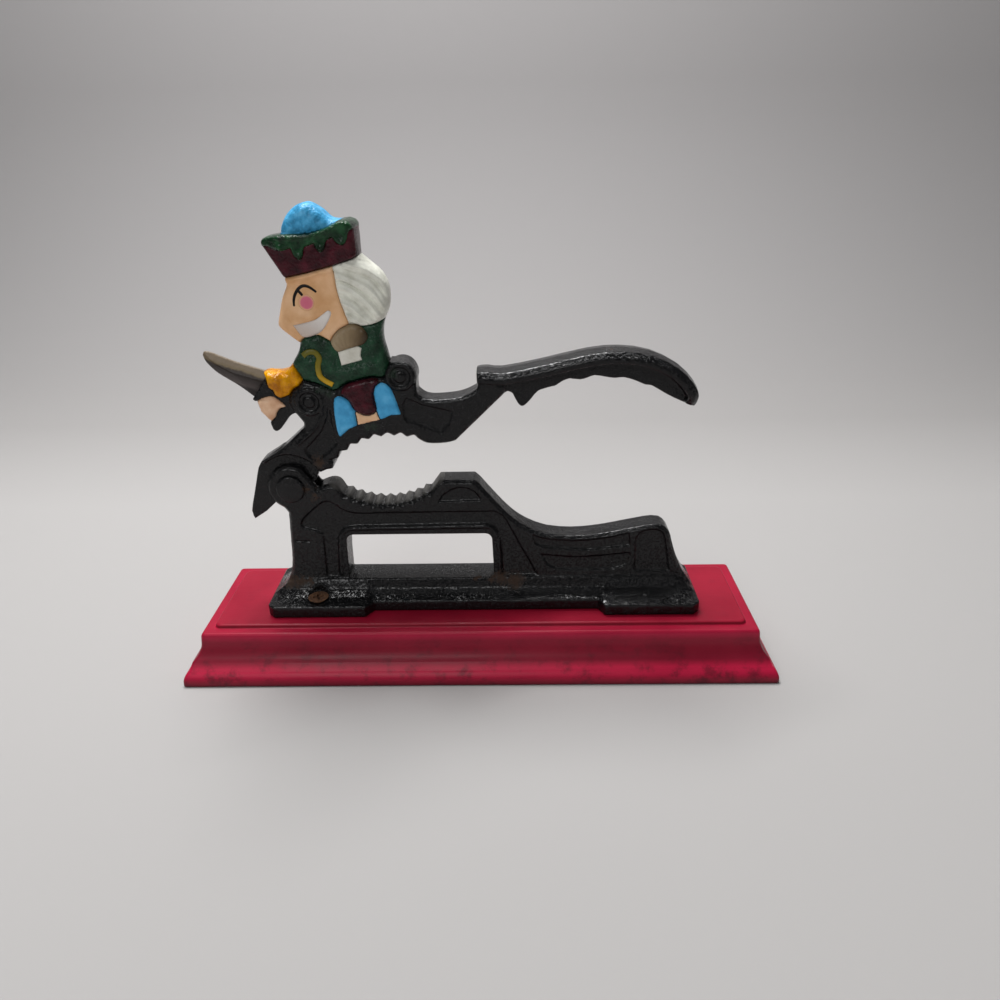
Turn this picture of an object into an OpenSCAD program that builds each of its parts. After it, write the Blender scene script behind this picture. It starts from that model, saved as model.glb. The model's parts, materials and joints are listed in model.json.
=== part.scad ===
// Lever nutcracker press: a cast iron frame and lever on a moulded wooden plinth.
// X runs along the press with the handle at +X, Y runs from front to back, Z is up.
// The origin is the middle of the plinth's underside.

/* [Plinth] */
// Length of the top board
slab_len = 224; // [214:1:250]
// Width of the top board
slab_wid = 51; // [46:1:70]
// Height of the board's top edge
slab_h = 20.4; // [19:0.2:28]
// How far the moulding spreads past the board at the floor
flare = 8.6; // [6:0.2:12]
// Set-in of the raised panel from the board's edge
panel_inset = 3.2; // [2:0.2:5]
// Height of the raised panel
panel_h = 1.4; // [0.8:0.1:2.5]

/* [Frame] */
// Thickness of the upright web and of the ears together
web_t = 11; // [10:0.5:16]
// Bevel round the web's edges
web_bevel = 1.3; // [0.6:0.1:1.8]
// Thickness of the flange's rim
flange_t = 5; // [3.5:0.5:6]
// Width of the flange across its feet
foot_w = 34; // [30:1:40]
// Width of the flange at its waist
waist_w = 25; // [20:1:28]
// Height of the flat that the web stands on, over the plinth
sill_h = 12; // [9:0.5:14]
// Width of that flat
sill_w = 12.4; // [12:0.2:18]
// Left side of the window
window_x0 = -54; // [-56:0.5:-50]
// Right side of the window
window_x1 = 5.6; // [0:0.2:8]
// Top of the window over the plinth
window_top = 32.4; // [28:0.2:34]
// Radius of the window's corners
window_r = 2.6; // [1:0.1:4]
// Depth of the sunk fields, and height of the beads, on the castings' faces
relief_h = 0.9; // [0.4:0.1:1.2]

/* [Jaws] */
// Radius of both serrated jaws at the tooth tips
jaw_r = 31; // [29:0.5:34]
// Depth of a tooth
tooth_d = 1.5; // [0.8:0.1:2]
// Teeth in the lower jaw
lower_teeth = 9; // [6:1:11]
// Teeth in the upper jaw
upper_teeth = 7; // [5:1:9]

/* [Hinge] */
// Distance of the hinge pin from the plinth's middle, along X
hinge_x = -73.8; // [-75:0.1:-73]
// Height of the hinge pin over the plinth
hinge_h = 53.4; // [52.4:0.1:54.4]
// Radius of the ears
ear_r = 9.6; // [8.4:0.1:10.4]
// Diameter of the pin's shank
pin_d = 6; // [4:0.5:8]
// Diameter of the pin's heads
pin_head_d = 11.4; // [10:0.2:13]
// Thickness of the pin's heads
pin_head_t = 1.3; // [0.8:0.1:2]
// Running clearance of the pin in the tongue, on the radius
pin_clear = 0.1; // [0.05:0.05:0.2]
// Thickness of the lever's tongue
tongue_t = 4.8; // [4:0.2:6]
// Clearance of the tongue in the fork, each side
tongue_clear = 0.25; // [0.15:0.05:0.5]
// Radius of the round end of the tongue
tongue_r = 9.2; // [8:0.1:9.6]
// Clearance between the tongue's round end and the bottom of the fork
fork_clear = 2; // [1.6:0.1:2.4]
// Radius of the lever's shoulder, which clears the ears
shoulder_r = 14; // [12:0.2:14.2]

/* [Lever] */
// Thickness of the lever's arm
arm_t = 11; // [9:0.5:14]
// Bevel round the arm's edges
arm_bevel = 1.1; // [0.5:0.1:1.3]
// Width of the handle's rounded top
cap_w = 15; // [12:0.5:19]
// Thickness of the handle's rounded top
cap_t = 4.6; // [3.5:0.1:5.5]
// Thickness of the handle's scalloped web
grip_t = 5; // [4:0.5:7]
// Thickness of the sword's hilt
hilt_t = 8; // [6:0.5:10]

/* [Figure] */
// Thickness of the figure at the edge of each painted part
figure_t = 8; // [6:0.5:10]
// Swell of the face's two sides
face_dome = 1.8; // [1:0.1:3]
// Swell of the hair's two sides
hair_dome = 3; // [1:0.1:4]
// Swell of the coat's two sides
coat_dome = 1.6; // [1:0.1:3]
// Swell of the hat's crown
crown_dome = 2.8; // [1:0.1:4]
// Thickness of the blade along its edge
blade_edge_t = 2; // [1:0.2:3]
// Swell of the blade at its middle
blade_dome = 2.2; // [1:0.1:3]
// Height of the legs and the skirt over the arm's faces
leg_h = 1.6; // [0.8:0.1:2.5]

/* [Screws] */
// Diameter of a screw's head
screw_head_d = 8.4; // [7:0.2:9.4]
// Diameter of a screw's shank
screw_d = 4.2; // [3:0.2:5]
// Length of a screw
screw_l = 19; // [14:1:22]
// Distance of the front screw from the plinth's middle
screw_x0 = -67; // [-72:0.5:-62]
// Distance of the rear screw from the plinth's middle
screw_x1 = 70; // [64:0.5:74]
// Height of the screws' seats over the plinth
screw_seat = 6.8; // [5.8:0.1:7]

/* [Hidden] */

eps = 0.01;
plinth_top = slab_h + panel_h;
flange_x0 = -87.5;
flange_x1 = 90.5;
fork_half = tongue_t / 2 + tongue_clear;
fork_r = tongue_r + fork_clear;
jaw_x = -36.4;
// height of the lower jaw's centre over the plinth
jaw_h = 77.9;
// centre of the upper jaw from the hinge pin
upper_jaw = [42, -9.5];
hinge = [hinge_x, hinge_h];
// distance of both screws from the centre line
screw_y = foot_w / 2 - 5.5;
pin_half = web_t / 2;

// ---------------------------------------------------------------- outline helpers

// points of an arc about c from angle a0 to a1
function arc(c, r, a0, a1, n) =
    [for (i = [0:n]) let (a = a0 + (a1 - a0) * i / n) c + r * [cos(a), sin(a)]];

// a smooth open curve through the points p, with n steps between two of them
function curve(p, n = 3) = let (m = len(p) - 1) concat(
    [for (i = [0:m - 1], k = [0:n - 1])
        let (t = k / n, a = p[max(i - 1, 0)], b = p[i], c = p[i + 1], d = p[min(i + 2, m)])
        0.5 * (2 * b + (c - a) * t + (2 * a - 5 * b + 4 * c - d) * t * t
               + (3 * b - a - 3 * c + d) * t * t * t)],
    [p[m]]);

// a row of n pointed teeth along an arc: tips at radius r, roots d further out
function teeth(c, r, d, a0, a1, n) =
    [for (i = [0:2 * n]) let (a = a0 + (a1 - a0) * i / (2 * n))
        c + (i % 2 == 0 ? r + d : r) * [cos(a), sin(a)]];

// an outline moved in by d, corner by corner
function unit(v) = v / max(norm(v), 0.0001);
function inset(p, d) = let (n = len(p)) [for (i = [0:n - 1])
    let (u = unit(p[i] - p[(i + n - 1) % n]), v = unit(p[(i + 1) % n] - p[i]),
         s = [-u[1] - v[1], u[0] + v[0]])
    p[i] + s * d / max(1 + u * v, 0.4)];

// both sides of an open path, as a strip of width w
function strip(p, w) = let (n = len(p) - 1,
    side = [for (i = [0:n]) let (d = unit(p[min(i + 1, n)] - p[max(i - 1, 0)])) [-d[1], d[0]]])
    concat([for (i = [0:n]) p[i] - side[i] * w / 2],
           [for (i = [n:-1:0]) p[i] + side[i] * w / 2]);

// diameter of a cutter with n flats that clears a round of diameter d
function clearing(d, n) = d / cos(180 / n) + 0.01;

// the mean of the points of an outline
function middle(p, i = 0) = i == len(p) ? [0, 0] : p[i] / len(p) + middle(p, i + 1);

// ---------------------------------------------------------------- solid helpers

// an upright plate: an outline in X and Z, given a thickness along Y
module plate(outline, t) {
    rotate([90, 0, 0]) translate([0, 0, -t / 2]) linear_extrude(t) polygon(outline);
}

// side faces between rings of n points, the first ring starting at point s
function ring_faces(n, rings, s = 0) = [for (r = [0:rings - 2], i = [0:n - 1], h = [0, 1])
    let (a = s + r * n + i, b = s + r * n + (i + 1) % n)
    h == 0 ? [a, b, b + n] : [a, b + n, a + n]];

// an upright plate with bevelled edges, as cast
module bevelled(outline, t, bevel) {
    n = len(outline);
    small = inset(outline, bevel);
    rings = [[small, -t / 2], [outline, -t / 2 + bevel], [outline, t / 2 - bevel], [small, t / 2]];
    points = [for (r = rings, p = r[0]) [p[0], r[1], p[1]]];
    caps = [[for (i = [n - 1:-1:0]) i], [for (i = [0:n - 1]) 3 * n + i]];
    polyhedron(points, concat(ring_faces(n, 4), caps), convexity = 10);
}

// an upright pad whose two faces swell to their middle, like the parts of the figure
module pad(outline, t, dome, steps = [0, 30, 60]) {
    n = len(outline);
    c = middle(outline);
    half = [for (a = steps) [cos(a), t / 2 + dome * sin(a)]];
    k = len(half);
    front = [for (i = [k - 1:-1:0]) [half[i][0], -half[i][1]]];
    rings = concat(front, half);
    points = concat([[c[0], -t / 2 - dome, c[1]]],
        [for (r = rings, p = outline) let (q = c + (p - c) * r[0]) [q[0], r[1], q[1]]],
        [[c[0], t / 2 + dome, c[1]]]);
    last = len(points) - 1;
    fans = concat([for (i = [0:n - 1]) [0, 1 + (i + 1) % n, 1 + i]],
        [for (i = [0:n - 1]) [last, last - n + i, last - n + (i + 1) % n]]);
    polyhedron(points, concat(ring_faces(n, 2 * k, 1), fans), convexity = 6);
}

// the same shape on the front and on the back
module both_faces() {
    children();
    mirror([0, 1, 0]) children();
}

// a raised shape with drafted sides on a front face at y = -t/2, rooted 0.4 mm deep in it
module raised(outline, t, h, draft = 0.5) {
    n = len(outline);
    rings = [[inset(outline, h * draft), -t / 2 - h], [outline, -t / 2 + 0.4]];
    points = [for (r = rings, p = r[0]) [p[0], r[1], p[1]]];
    caps = [[for (i = [n - 1:-1:0]) i], [for (i = [0:n - 1]) n + i]];
    polyhedron(points, concat(ring_faces(n, 2), caps), convexity = 10);
}

// a cutter for a sunk field with drafted sides, from a front face at y = -t/2 inwards
module sunk(outline, t, depth, draft = 0.5) {
    n = len(outline);
    rings = [[inset(outline, -draft), -t / 2 - 1], [inset(outline, depth * draft), -t / 2 + depth]];
    points = [for (r = rings, p = r[0]) [p[0], r[1], p[1]]];
    caps = [[for (i = [n - 1:-1:0]) i], [for (i = [0:n - 1]) n + i]];
    polyhedron(points, concat(ring_faces(n, 2), caps), convexity = 10);
}

module on_plinth() { translate([0, 0, plinth_top]) children(); }
module on_hinge() { translate([hinge_x, 0, plinth_top + hinge_h]) children(); }

// ---------------------------------------------------------------- plinth

// half section of the moulding: distance out from the board's edge, and height
function moulding() = concat(
    [[flare, 0], [flare, 0.8]],
    arc([flare - 6.2, 1.2], 6.2, 8, 52, 5),
    curve([[flare - 3.7, slab_h * 0.44], [flare - 5.6, slab_h * 0.54],
           [1.5, slab_h * 0.7], [1, slab_h - 2.4]], 3),
    [[0.5, slab_h - 0.8], [-0.4, slab_h]]);

module plinth() {
    profile = moulding();
    rings = concat(profile, [[-panel_inset, slab_h], [-panel_inset - 0.5, plinth_top]]);
    corners = [[-1, -1], [1, -1], [1, 1], [-1, 1]];
    r_corner = 1.2;
    function ring(o) = [for (q = corners, a = [0, 45, 90])
        let (start = q == [-1, -1] ? 180 : q == [1, -1] ? 270 : q == [1, 1] ? 0 : 90)
        [q[0] * (slab_len / 2 + o - r_corner), q[1] * (slab_wid / 2 + o - r_corner)]
        + r_corner * [cos(start + a), sin(start + a)]];
    n = 12;
    points = [for (k = rings, p = ring(k[0])) [p[0], p[1], k[1]]];
    sides = [for (f = ring_faces(n, len(rings))) [f[2], f[1], f[0]]];
    caps = [[for (i = [0:n - 1]) i],
            [for (i = [n - 1:-1:0]) (len(rings) - 1) * n + i]];
    color("#b01530") difference() {
        polyhedron(points, concat(sides, caps), convexity = 4);
        at_screws() translate([0, 0, screw_seat - screw_l - eps])
            cylinder(d = clearing(screw_d, 32), h = screw_l + 5, $fn = 32);
    }
}

// ---------------------------------------------------------------- frame

function frame_outline() = concat(
    [[flange_x0 + 1, 0], [flange_x1 - 0.5, 0], [flange_x1 - 0.5, flange_t - 1]],
    curve([[88.6, 8], [85.6, 12.4], [83.2, 16.7], [80.8, 22.6], [79.1, 28], [77.8, 32],
           [74.4, 35.2], [69, 35.2]], 2),
    curve([[60, 33.4], [50, 31.4], [38.8, 30.4], [28, 31.5], [19.6, 35], [13.3, 39.8],
           [7.1, 46.8], [1.2, 54.2]], 2),
    [[-0.7, 56], [-14.8, 56]],
    teeth([jaw_x, jaw_h], jaw_r, tooth_d, -57, -121, lower_teeth),
    curve([[-54.4, 52.6], [-55.6, 54.2], [-58, 54.9], [-60.6, 54.3], [-63.3, 53.2]], 2),
    arc(hinge, ear_r, 56, 245, 14),
    curve([[-76.4, 42.4], [-77.2, 31], [-77.9, 21], [-79.4, 13.6], [-82, 9.4],
           [flange_x0 + 1, flange_t - 0.6]], 2));

function window_outline() = let (r = window_r, x0 = window_x0, x1 = window_x1) concat(
    [[x0 - 0.6, sill_h], [x1 + 0.6, sill_h]],
    arc([x1 - r, window_top - r], r, 0, 90, 4),
    arc([x0 + r, window_top - r], r, 90, 180, 4));

// plan of the flange: two wide feet joined by a waist
function flange_half(side) = let (f = foot_w / 2, w = waist_w / 2) side < 0
    ? [[flange_x0, -f + 2.6], [flange_x0 + 2.6, -f], [-47, -f], [-44, -w], [49, -w], [51.5, -f],
       [flange_x1 - 2.6, -f], [flange_x1, -f + 2.6]]
    : [for (i = [7:-1:0]) let (p = flange_half(-1)[i]) [p[0], -p[1]]];

// the sloped sides that rise from the flange's rim to the web's foot
module flange_slopes() {
    f = foot_w / 2 - 0.6;
    w = waist_w / 2 - 0.6;
    stations = [[flange_x0 + 0.4, f - 2, 0.02], [-84, f, 0.35], [-81, f, 0.75], [-77, f, 1],
                [-47, f, 1], [-44, w, 1], [49, w, 1], [51.5, f, 1], [81, f, 1], [85, f, 0.7],
                [88, f, 0.3], [flange_x1 - 0.4, f - 2, 0.02]];
    // share of the way in to the web, and share of the rise, of four lines along a side
    spread = [[0, 0], [0.45, 0.18], [0.8, 0.45], [1, 1]];
    half = sill_w / 2;
    function section(s) = let (rise = (sill_h - flange_t) * s[2],
        slope = [for (u = spread) [s[1] + (half - s[1]) * u[0], flange_t + rise * u[1]]])
        concat([[-s[1], flange_t - 2], [s[1], flange_t - 2]], slope,
               [for (i = [3:-1:0]) [-slope[i][0], slope[i][1]]]);
    n = 10;
    m = len(stations);
    points = [for (s = stations, p = section(s)) [s[0], p[0], p[1]]];
    sides = [for (g = ring_faces(n, m)) [g[2], g[1], g[0]]];
    caps = [[for (i = [0:n - 1]) i], [for (i = [n - 1:-1:0]) (m - 1) * n + i]];
    polyhedron(points, concat(sides, caps), convexity = 4);
}

// sunk fields of the frame's front face
module frame_fields() {
    low = sill_h + 0.5;
    // a band that follows the window, the jaw and the left leg
    band = concat([[24.6, low]],
        curve([[20.7, 20.7], [16.9, 28], [13.2, 35.8], [10.6, 40.6], [6.6, 42.9]], 2),
        curve([[-40, 42.6], [-49.6, 42.6], [-54.5, 44.6], [-57.2, 46.9], [-60, 48.1], [-63.1, 47],
               [-67.7, 43.1], [-71.1, 39.8], [-72.2, 36.8]], 2),
        [[-71.2, 35.6], [-64.8, 33.7], [-63.6, 32.6], [-64.2, low], [-58.6, low]],
        curve([[-58.2, 18], [-57.4, 29], [-56.4, 33], [-53.7, 35.6], [-48.2, 36.3]], 2),
        curve([[3, 36.6], [6.6, 34.9], [8.8, 29.4], [9.4, 20]], 2), [[9.6, low]]);
    sunk(band, web_t, relief_h);
    // a half moon under the flat top
    sunk(concat(curve([[2.4, 47.2], [-0.6, 51.5], [-5.2, 53.5], [-9.3, 52.9], [-13.5, 50.3]], 2),
                [[-16, 46.7]]), web_t, relief_h);
    // two long fields and the shoulder's field
    sunk(concat(curve([[61.6, 32.6], [54.3, 30.5], [44.4, 29.2], [35.7, 29.2], [26, 30.4],
                       [21.8, 32.4]], 2),
        curve([[22.9, 27.4], [27, 25.4], [35.8, 24.8], [44.6, 24.1], [54.6, 25.1], [62.4, 26]], 2)),
        web_t, relief_h);
    sunk(concat(curve([[62.6, 23.2], [54.7, 22.4], [44.7, 21.5], [35.8, 21.6], [25.3, 22.9]], 2),
        curve([[27.7, 17.7], [32.1, 15.1], [44.9, 14.7], [56.3, 15], [61.6, 17.3]], 2)),
        web_t, relief_h);
    sunk(concat([[79.2, 13.8]], curve([[77.1, 25.9], [75.9, 30.8], [74.4, 32.9], [71.6, 33.9],
        [67.9, 33.5], [65.4, 31.9], [64.1, 29.6], [64, 26]], 2), [[64.2, 13.8]]),
        web_t, relief_h);
    // a short engraved dash
    sunk(strip([[-75.2, 29.8], [-68.7, 29.5]], 1.1), web_t, relief_h * 0.7, 0.2);
}

// the bead along the window's rim
module frame_bead() {
    raised(strip(curve([[-57.7, 13.4], [-57.4, 18], [-56.6, 28.8], [-55.7, 32.5], [-53.4, 34.8],
                        [-48.2, 35.4], [-20, 35.6], [3, 35.7], [6, 34.3], [7.9, 29.2], [8.5, 20],
                        [8.7, 13.4]], 2), 1.2), web_t, relief_h * 0.6);
}

module frame() {
    slope_top = flange_half(-1);
    color("#16161a") difference() {
        union() {
            on_plinth() bevelled(frame_outline(), web_t, web_bevel);
            on_plinth() linear_extrude(flange_t) polygon(concat(flange_half(-1), flange_half(1)));
            on_plinth() flange_slopes();
            on_plinth() both_faces() frame_bead();
        }
        on_plinth() both_faces() frame_fields();
        on_plinth() plate(window_outline(), web_t + 3);
        // the fork between the ears
        on_hinge() rotate([90, 0, 0]) cylinder(r = fork_r, h = 2 * fork_half, center = true, $fn = 64);
        on_hinge() rotate([90, 0, 0])
            cylinder(d = clearing(pin_d, 48), h = web_t + 4, center = true, $fn = 48);
        at_screws() translate([0, 0, -1])
            cylinder(d = clearing(screw_d, 48), h = screw_seat + 1, $fn = 48);
        at_screws() translate([0, 0, screw_seat - screw_cone])
            cylinder(d1 = clearing(screw_d, 48), d2 = clearing(screw_head_d, 48), h = screw_cone,
                     $fn = 48);
        at_screws() translate([0, 0, screw_seat - eps])
            cylinder(d = screw_head_d + 0.3, h = sill_h, $fn = 48);
    }
}

// ---------------------------------------------------------------- pin and screws

screw_cone = (screw_head_d - screw_d) / 2;

module at_screws() {
    on_plinth() translate([screw_x0, -screw_y, 0]) children();
    on_plinth() translate([screw_x1, screw_y, 0]) children();
}

// a riveted pin: shank and two low domed heads, turned about Y
module hinge_pin() {
    r = pin_head_d / 2;
    head = concat([[0, 0], [r, 0]],
        [for (i = [0:5]) let (a = 18 * i) [r - 0.9 + 0.9 * cos(a), pin_head_t - 0.7 + 0.7 * sin(a)]],
        [[0, pin_head_t + 0.2]]);
    color("#24242a") on_hinge() rotate([90, 0, 0]) {
        cylinder(d = pin_d, h = web_t, center = true, $fn = 48);
        translate([0, 0, pin_half]) rotate_extrude($fn = 48) polygon(head);
        mirror([0, 0, 1]) translate([0, 0, pin_half]) rotate_extrude($fn = 48) polygon(head);
    }
}

// a countersunk wood screw with a cross recess, its head's top at z = 0
module wood_screw() {
    point = 4;
    difference() {
        union() {
            translate([0, 0, -screw_cone])
                cylinder(d1 = screw_d, d2 = screw_head_d, h = screw_cone, $fn = 48);
            translate([0, 0, -screw_l + point])
                cylinder(d = screw_d, h = screw_l - point - screw_cone, $fn = 32);
            translate([0, 0, -screw_l]) cylinder(d1 = 0.6, d2 = screw_d, h = point, $fn = 32);
        }
        for (a = [20, 110]) rotate([0, 0, a]) cube([4.6, 1.1, 2.6], center = true);
    }
}

module front_screw() {
    color("#6b4a32") on_plinth() translate([screw_x0, -screw_y, screw_seat]) wood_screw();
}

module rear_screw() {
    color("#6b4a32") on_plinth() translate([screw_x1, screw_y, screw_seat]) wood_screw();
}

// ---------------------------------------------------------------- shared lines of the lever
// All are measured from the hinge pin.

seat_line = [[43, 50.6], [42.6, 47.2], [40.2, 44.6], [36.5, 45.1], [30.7, 44], [25.7, 42.4],
             [21.5, 39.9], [16.2, 42.5], [10.4, 44.2]];
glove_line = [[10.4, 44.2], [8.7, 42], [6.8, 41], [4.4, 38.4]];
glove_foot = [[4.4, 38.4], [1.1, 37.3], [-0.8, 38.4], [-1.3, 40], [-2.9, 41.4], [-3.7, 44.8]];
blade_root = [[-3.7, 44.8], [-9.9, 36.6]];
hand_line = [[-8.6, 35.8], [-6.4, 37.1], [-3.4, 37.8], [-1.3, 37.4], [0.6, 35.8], [2.4, 33.9],
             [0.3, 33.2], [-1.4, 31.3], [-2, 29.7], [-4.4, 27.6]];
collar_line = [[10.8, 57.7], [12.4, 59.4], [14.8, 60.5], [18.1, 60.8], [20.6, 59.6], [22.4, 58.4]];
shoulder_line = [[22.4, 58.4], [23.8, 60.6], [26.2, 62.8], [29.8, 64.6]];
hair_foot = [[29.8, 64.6], [34.4, 63.9], [39, 64.6], [42.6, 66.2]];
hair_line = [[29.8, 64.6], [28, 70.6], [26.8, 76], [26.4, 81], [26.3, 85]];
brow_line = [[26.3, 85], [17.4, 82.8], [8.5, 81]];
crown_line = [[30, 99.9], [26.7, 98.2], [22.9, 96.9], [18.5, 96], [13.3, 95.9], [9.3, 95.7]];
// lower edge of the brim, with its four painted drops
drop_line = [[1, 92.4], [5.6, 91.8], [8.2, 89.5], [10.4, 91.6], [12.6, 91.4], [15.2, 87.8],
             [17.8, 92.4], [20.4, 93], [23.3, 90], [25.6, 94.2], [28.8, 95], [31.2, 92.4],
             [33, 96], [35.2, 96.8]];

function back(p) = [for (i = [len(p) - 1:-1:0]) p[i]];
function inner(p) = [for (i = [1:len(p) - 2]) p[i]];

// ---------------------------------------------------------------- lever

function arm_outline() = concat(
    [[-10.6, 11.2]], arc([0, 0], shoulder_r, 132, 28, 7), [[15.1, 7.8], [17.6, 8.2], [18.2, 10.6]],
    teeth(upper_jaw, jaw_r, tooth_d, 139, 75, upper_teeth),
    curve([[51.8, 20.4], [55.4, 18.4], [62.3, 18.4], [66.4, 19.4]], 3),
    [[85.4, 38], [86.4, 41.6], [76, 43.4]],
    curve([[75, 39.6], [69.4, 37], [62, 36], [56, 36.2], [52.6, 38.6]], 3),
    arc([46.9, 44.8], 6.1, -22, 112, 8),
    seat_line, inner(glove_line),
    arc([12.1, 35.9], 7.7, 162, 222, 4),
    [[8.6, 27.4]],
    curve([[8.4, 25.4], [4.5, 21.9], [-1.2, 17], [-6.7, 13.6]], 2));

function tongue_outline() = concat(
    curve([[-10.6, 11.1], [-12.6, 7.9], [-14.3, 2.3], [-16.2, -4], [-18.2, -11], [-17.4, -14.6]], 2),
    [[-12, -11.1], [-7.6, -7.1]],
    arc([0, 0], tongue_r, 231, 368, 12),
    [[11.6, 6.6], [14.6, 12], [-2, 17]]);

function hilt_outline() = concat(
    curve([[-4.4, 27.6], [-3.8, 24.8], [-2.5, 23.8], [-0.4, 25.1], [3.2, 29.7], [5.6, 31]], 2),
    [[8, 32], [8, 40]], glove_foot, [blade_root[1]], hand_line);

// line of the handle's crown, from the thumb end to the tip
function crown_path() = curve([[75, 46.9], [79.5, 47.1], [84.5, 46.6], [98.8, 49.2], [116.7, 53.2],
    [128.5, 54], [140, 52.2], [150, 47.3], [156.3, 41], [158.6, 36], [157.4, 31.6]], 2);

function grip_outline() = concat(
    [[84, 36.6], [86.6, 38.2]],
    curve([[88.4, 37.4], [90.6, 33], [92.6, 32.2], [95.6, 35.2], [98.4, 38.3], [104.6, 40]], 2),
    curve([[106.9, 41.6], [109.8, 42.7], [113.6, 42.2], [116.4, 42.9], [119, 43.8], [122.4, 43.3],
           [126.6, 42.6], [130, 42.9], [134.8, 41.4], [138.2, 39.9], [140.6, 39.6], [146.5, 36.1],
           [152, 33.4], [156, 31.8]], 2),
    [for (i = [18:-2:2]) crown_path()[i] - [0, 1.4]]);

// the handle's rounded top, drawn along its crown
module handle_cap() {
    path = crown_path();
    m = len(path);
    h = cap_w / 2;
    side = [[-h, -cap_t], [-h, -cap_t * 0.55], [-h * 0.74, -cap_t * 0.14], [0, 0],
            [h * 0.74, -cap_t * 0.14], [h, -cap_t * 0.55], [h, -cap_t], [0, -cap_t - 0.9]];
    n = len(side);
    function slim(i) = i == 0 ? 0.84 : i > m - 5 ? sqrt(1 - pow((i - m + 5) / 5, 2) * 0.8) : 1;
    points = [for (i = [0:m - 1]) let (d = unit(path[min(i + 1, m - 1)] - path[max(i - 1, 0)]))
        for (s = side) let (q = path[i] + [-d[1], d[0]] * s[1]) [q[0], s[0] * slim(i), q[1]]];
    caps = [[for (i = [n - 1:-1:0]) i], [for (i = [0:n - 1]) (m - 1) * n + i]];
    polyhedron(points, concat(ring_faces(n, m), caps), convexity = 6);
}

// raised relief of the arm's front face: two scrolls, and the bead that runs down from one
module arm_relief() {
    for (c = [[12.1, 35.9], [46.9, 45.2]], ring = [[5.2, 3.9], [2.1, 0]])
        translate([c[0], -arm_t / 2, c[1]]) rotate([90, 0, 0]) difference() {
            translate([0, 0, -0.4]) cylinder(r = ring[0], h = relief_h + 0.4, $fn = 24);
            if (ring[1] > 0) translate([0, 0, -1]) cylinder(r = ring[1], h = 4, $fn = 24);
        }
    raised(strip(curve([[16.6, 34], [16, 30.5], [13.6, 26], [9.6, 22.2], [5, 18.6]], 3), 1.2),
           arm_t, relief_h * 0.7);
}

// sunk fields of the arm's front face, before and behind the figure's legs
module arm_fields() {
    sunk([[7.4, 16.6], [8.1, 14.6], [10.2, 12.1], [12.4, 11], [17, 15.2], [21, 18.8], [20.2, 22.4],
          [19.8, 27], [19.6, 32.4], [18.4, 33.8], [17.8, 30.2], [15.3, 24.9], [11.7, 20.6]],
         arm_t, relief_h);
    sunk([[47.1, 28], [61, 22.4], [65, 27.2], [66, 31.6], [54.4, 34.4], [48.4, 37.4], [46.7, 34]],
         arm_t, relief_h);
}

module lever() {
    color("#18181c") on_hinge() difference() {
        union() {
            bevelled(arm_outline(), arm_t, arm_bevel);
            plate(tongue_outline(), tongue_t);
            plate(hilt_outline(), hilt_t);
            plate(grip_outline(), grip_t);
            handle_cap();
            both_faces() arm_relief();
        }
        both_faces() arm_fields();
        rotate([90, 0, 0])
            cylinder(d = clearing(pin_d + 2 * pin_clear, 48), h = 20, center = true, $fn = 48);
    }
}

// ---------------------------------------------------------------- painted parts of the figure

function blade_outline() = concat(
    curve([[-27.2, 53.4], [-25.6, 50.2], [-22.3, 46.5], [-15.2, 41.6], [-11.7, 38.9]], 2),
    [blade_root[1], blade_root[0], [-4.6, 46.8]],
    curve([[-9.5, 48.4], [-14.6, 50.1], [-19.7, 52.2], [-24.4, 54], [-26.6, 54.2]], 2));

function gauntlet_outline() = concat(
    back(glove_foot), inner(back(glove_line)),
    [[10.4, 44.2], [8.6, 47.8], [7, 50.2]],
    curve([[5.4, 48.4], [3.6, 47.2], [0, 46.7], [-3, 47], [-4.6, 46.8]], 2));

function coat_outline() = concat(back(seat_line),
    curve([[42.2, 54.4], [41.4, 58], [41.5, 62.4], [42.6, 66.2]], 2),
    inner(back(hair_foot)), back(shoulder_line), inner(back(collar_line)),
    curve([[10.8, 57.7], [9.8, 54.6], [7, 50.2]], 2), [[8.6, 47.8]]);

epaulette_outline = back(concat(shoulder_line, [[33, 63.9], [35.6, 62.4], [36.2, 59.6], [34, 57.2],
                           [29.4, 56], [24.8, 54.6]]));
sash_outline = [[24.8, 54.6], [25.6, 49.6], [33.4, 51.6], [33, 53.4], [33.6, 56], [32.2, 56.7],
                [29.4, 56]];

function face_outline() = concat(
    curve([[8.5, 81], [8.6, 78.2], [6.4, 73.6], [4.9, 68.6], [3.9, 65], [4.6, 63.2], [7.5, 60.4],
           [10.8, 57.7]], 2),
    inner(collar_line), shoulder_line, inner(hair_line), [[26.3, 85]], inner(brow_line));

function hair_outline() = concat(hair_foot,
    curve([[44.2, 69.8], [44.8, 74.2], [44.3, 78.5], [42, 82.5], [38.6, 85.6], [35.5, 88.2]], 2),
    [[33.4, 87.2]], back(inner(concat([[29.8, 64.6]], inner(hair_line), [[26.3, 85], [0, 0]]))));

function band_outline() = concat(back(brow_line), [[33.4, 87.2], [35.5, 88.2]], back(drop_line));

function brim_outline() = concat(drop_line,
    [[35, 98.4], [33.9, 99.5], [32, 100.1]], crown_line, [[6.4, 95.3], [2.4, 94.2], [1, 93.2]]);

function hat_crown_outline() = concat(back(crown_line),
    curve([[26.6, 100.4], [23.6, 103.1], [20, 105.2], [17.4, 105.4], [14.4, 103.9], [11.7, 101.3],
           [9.8, 98]], 2));

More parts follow.
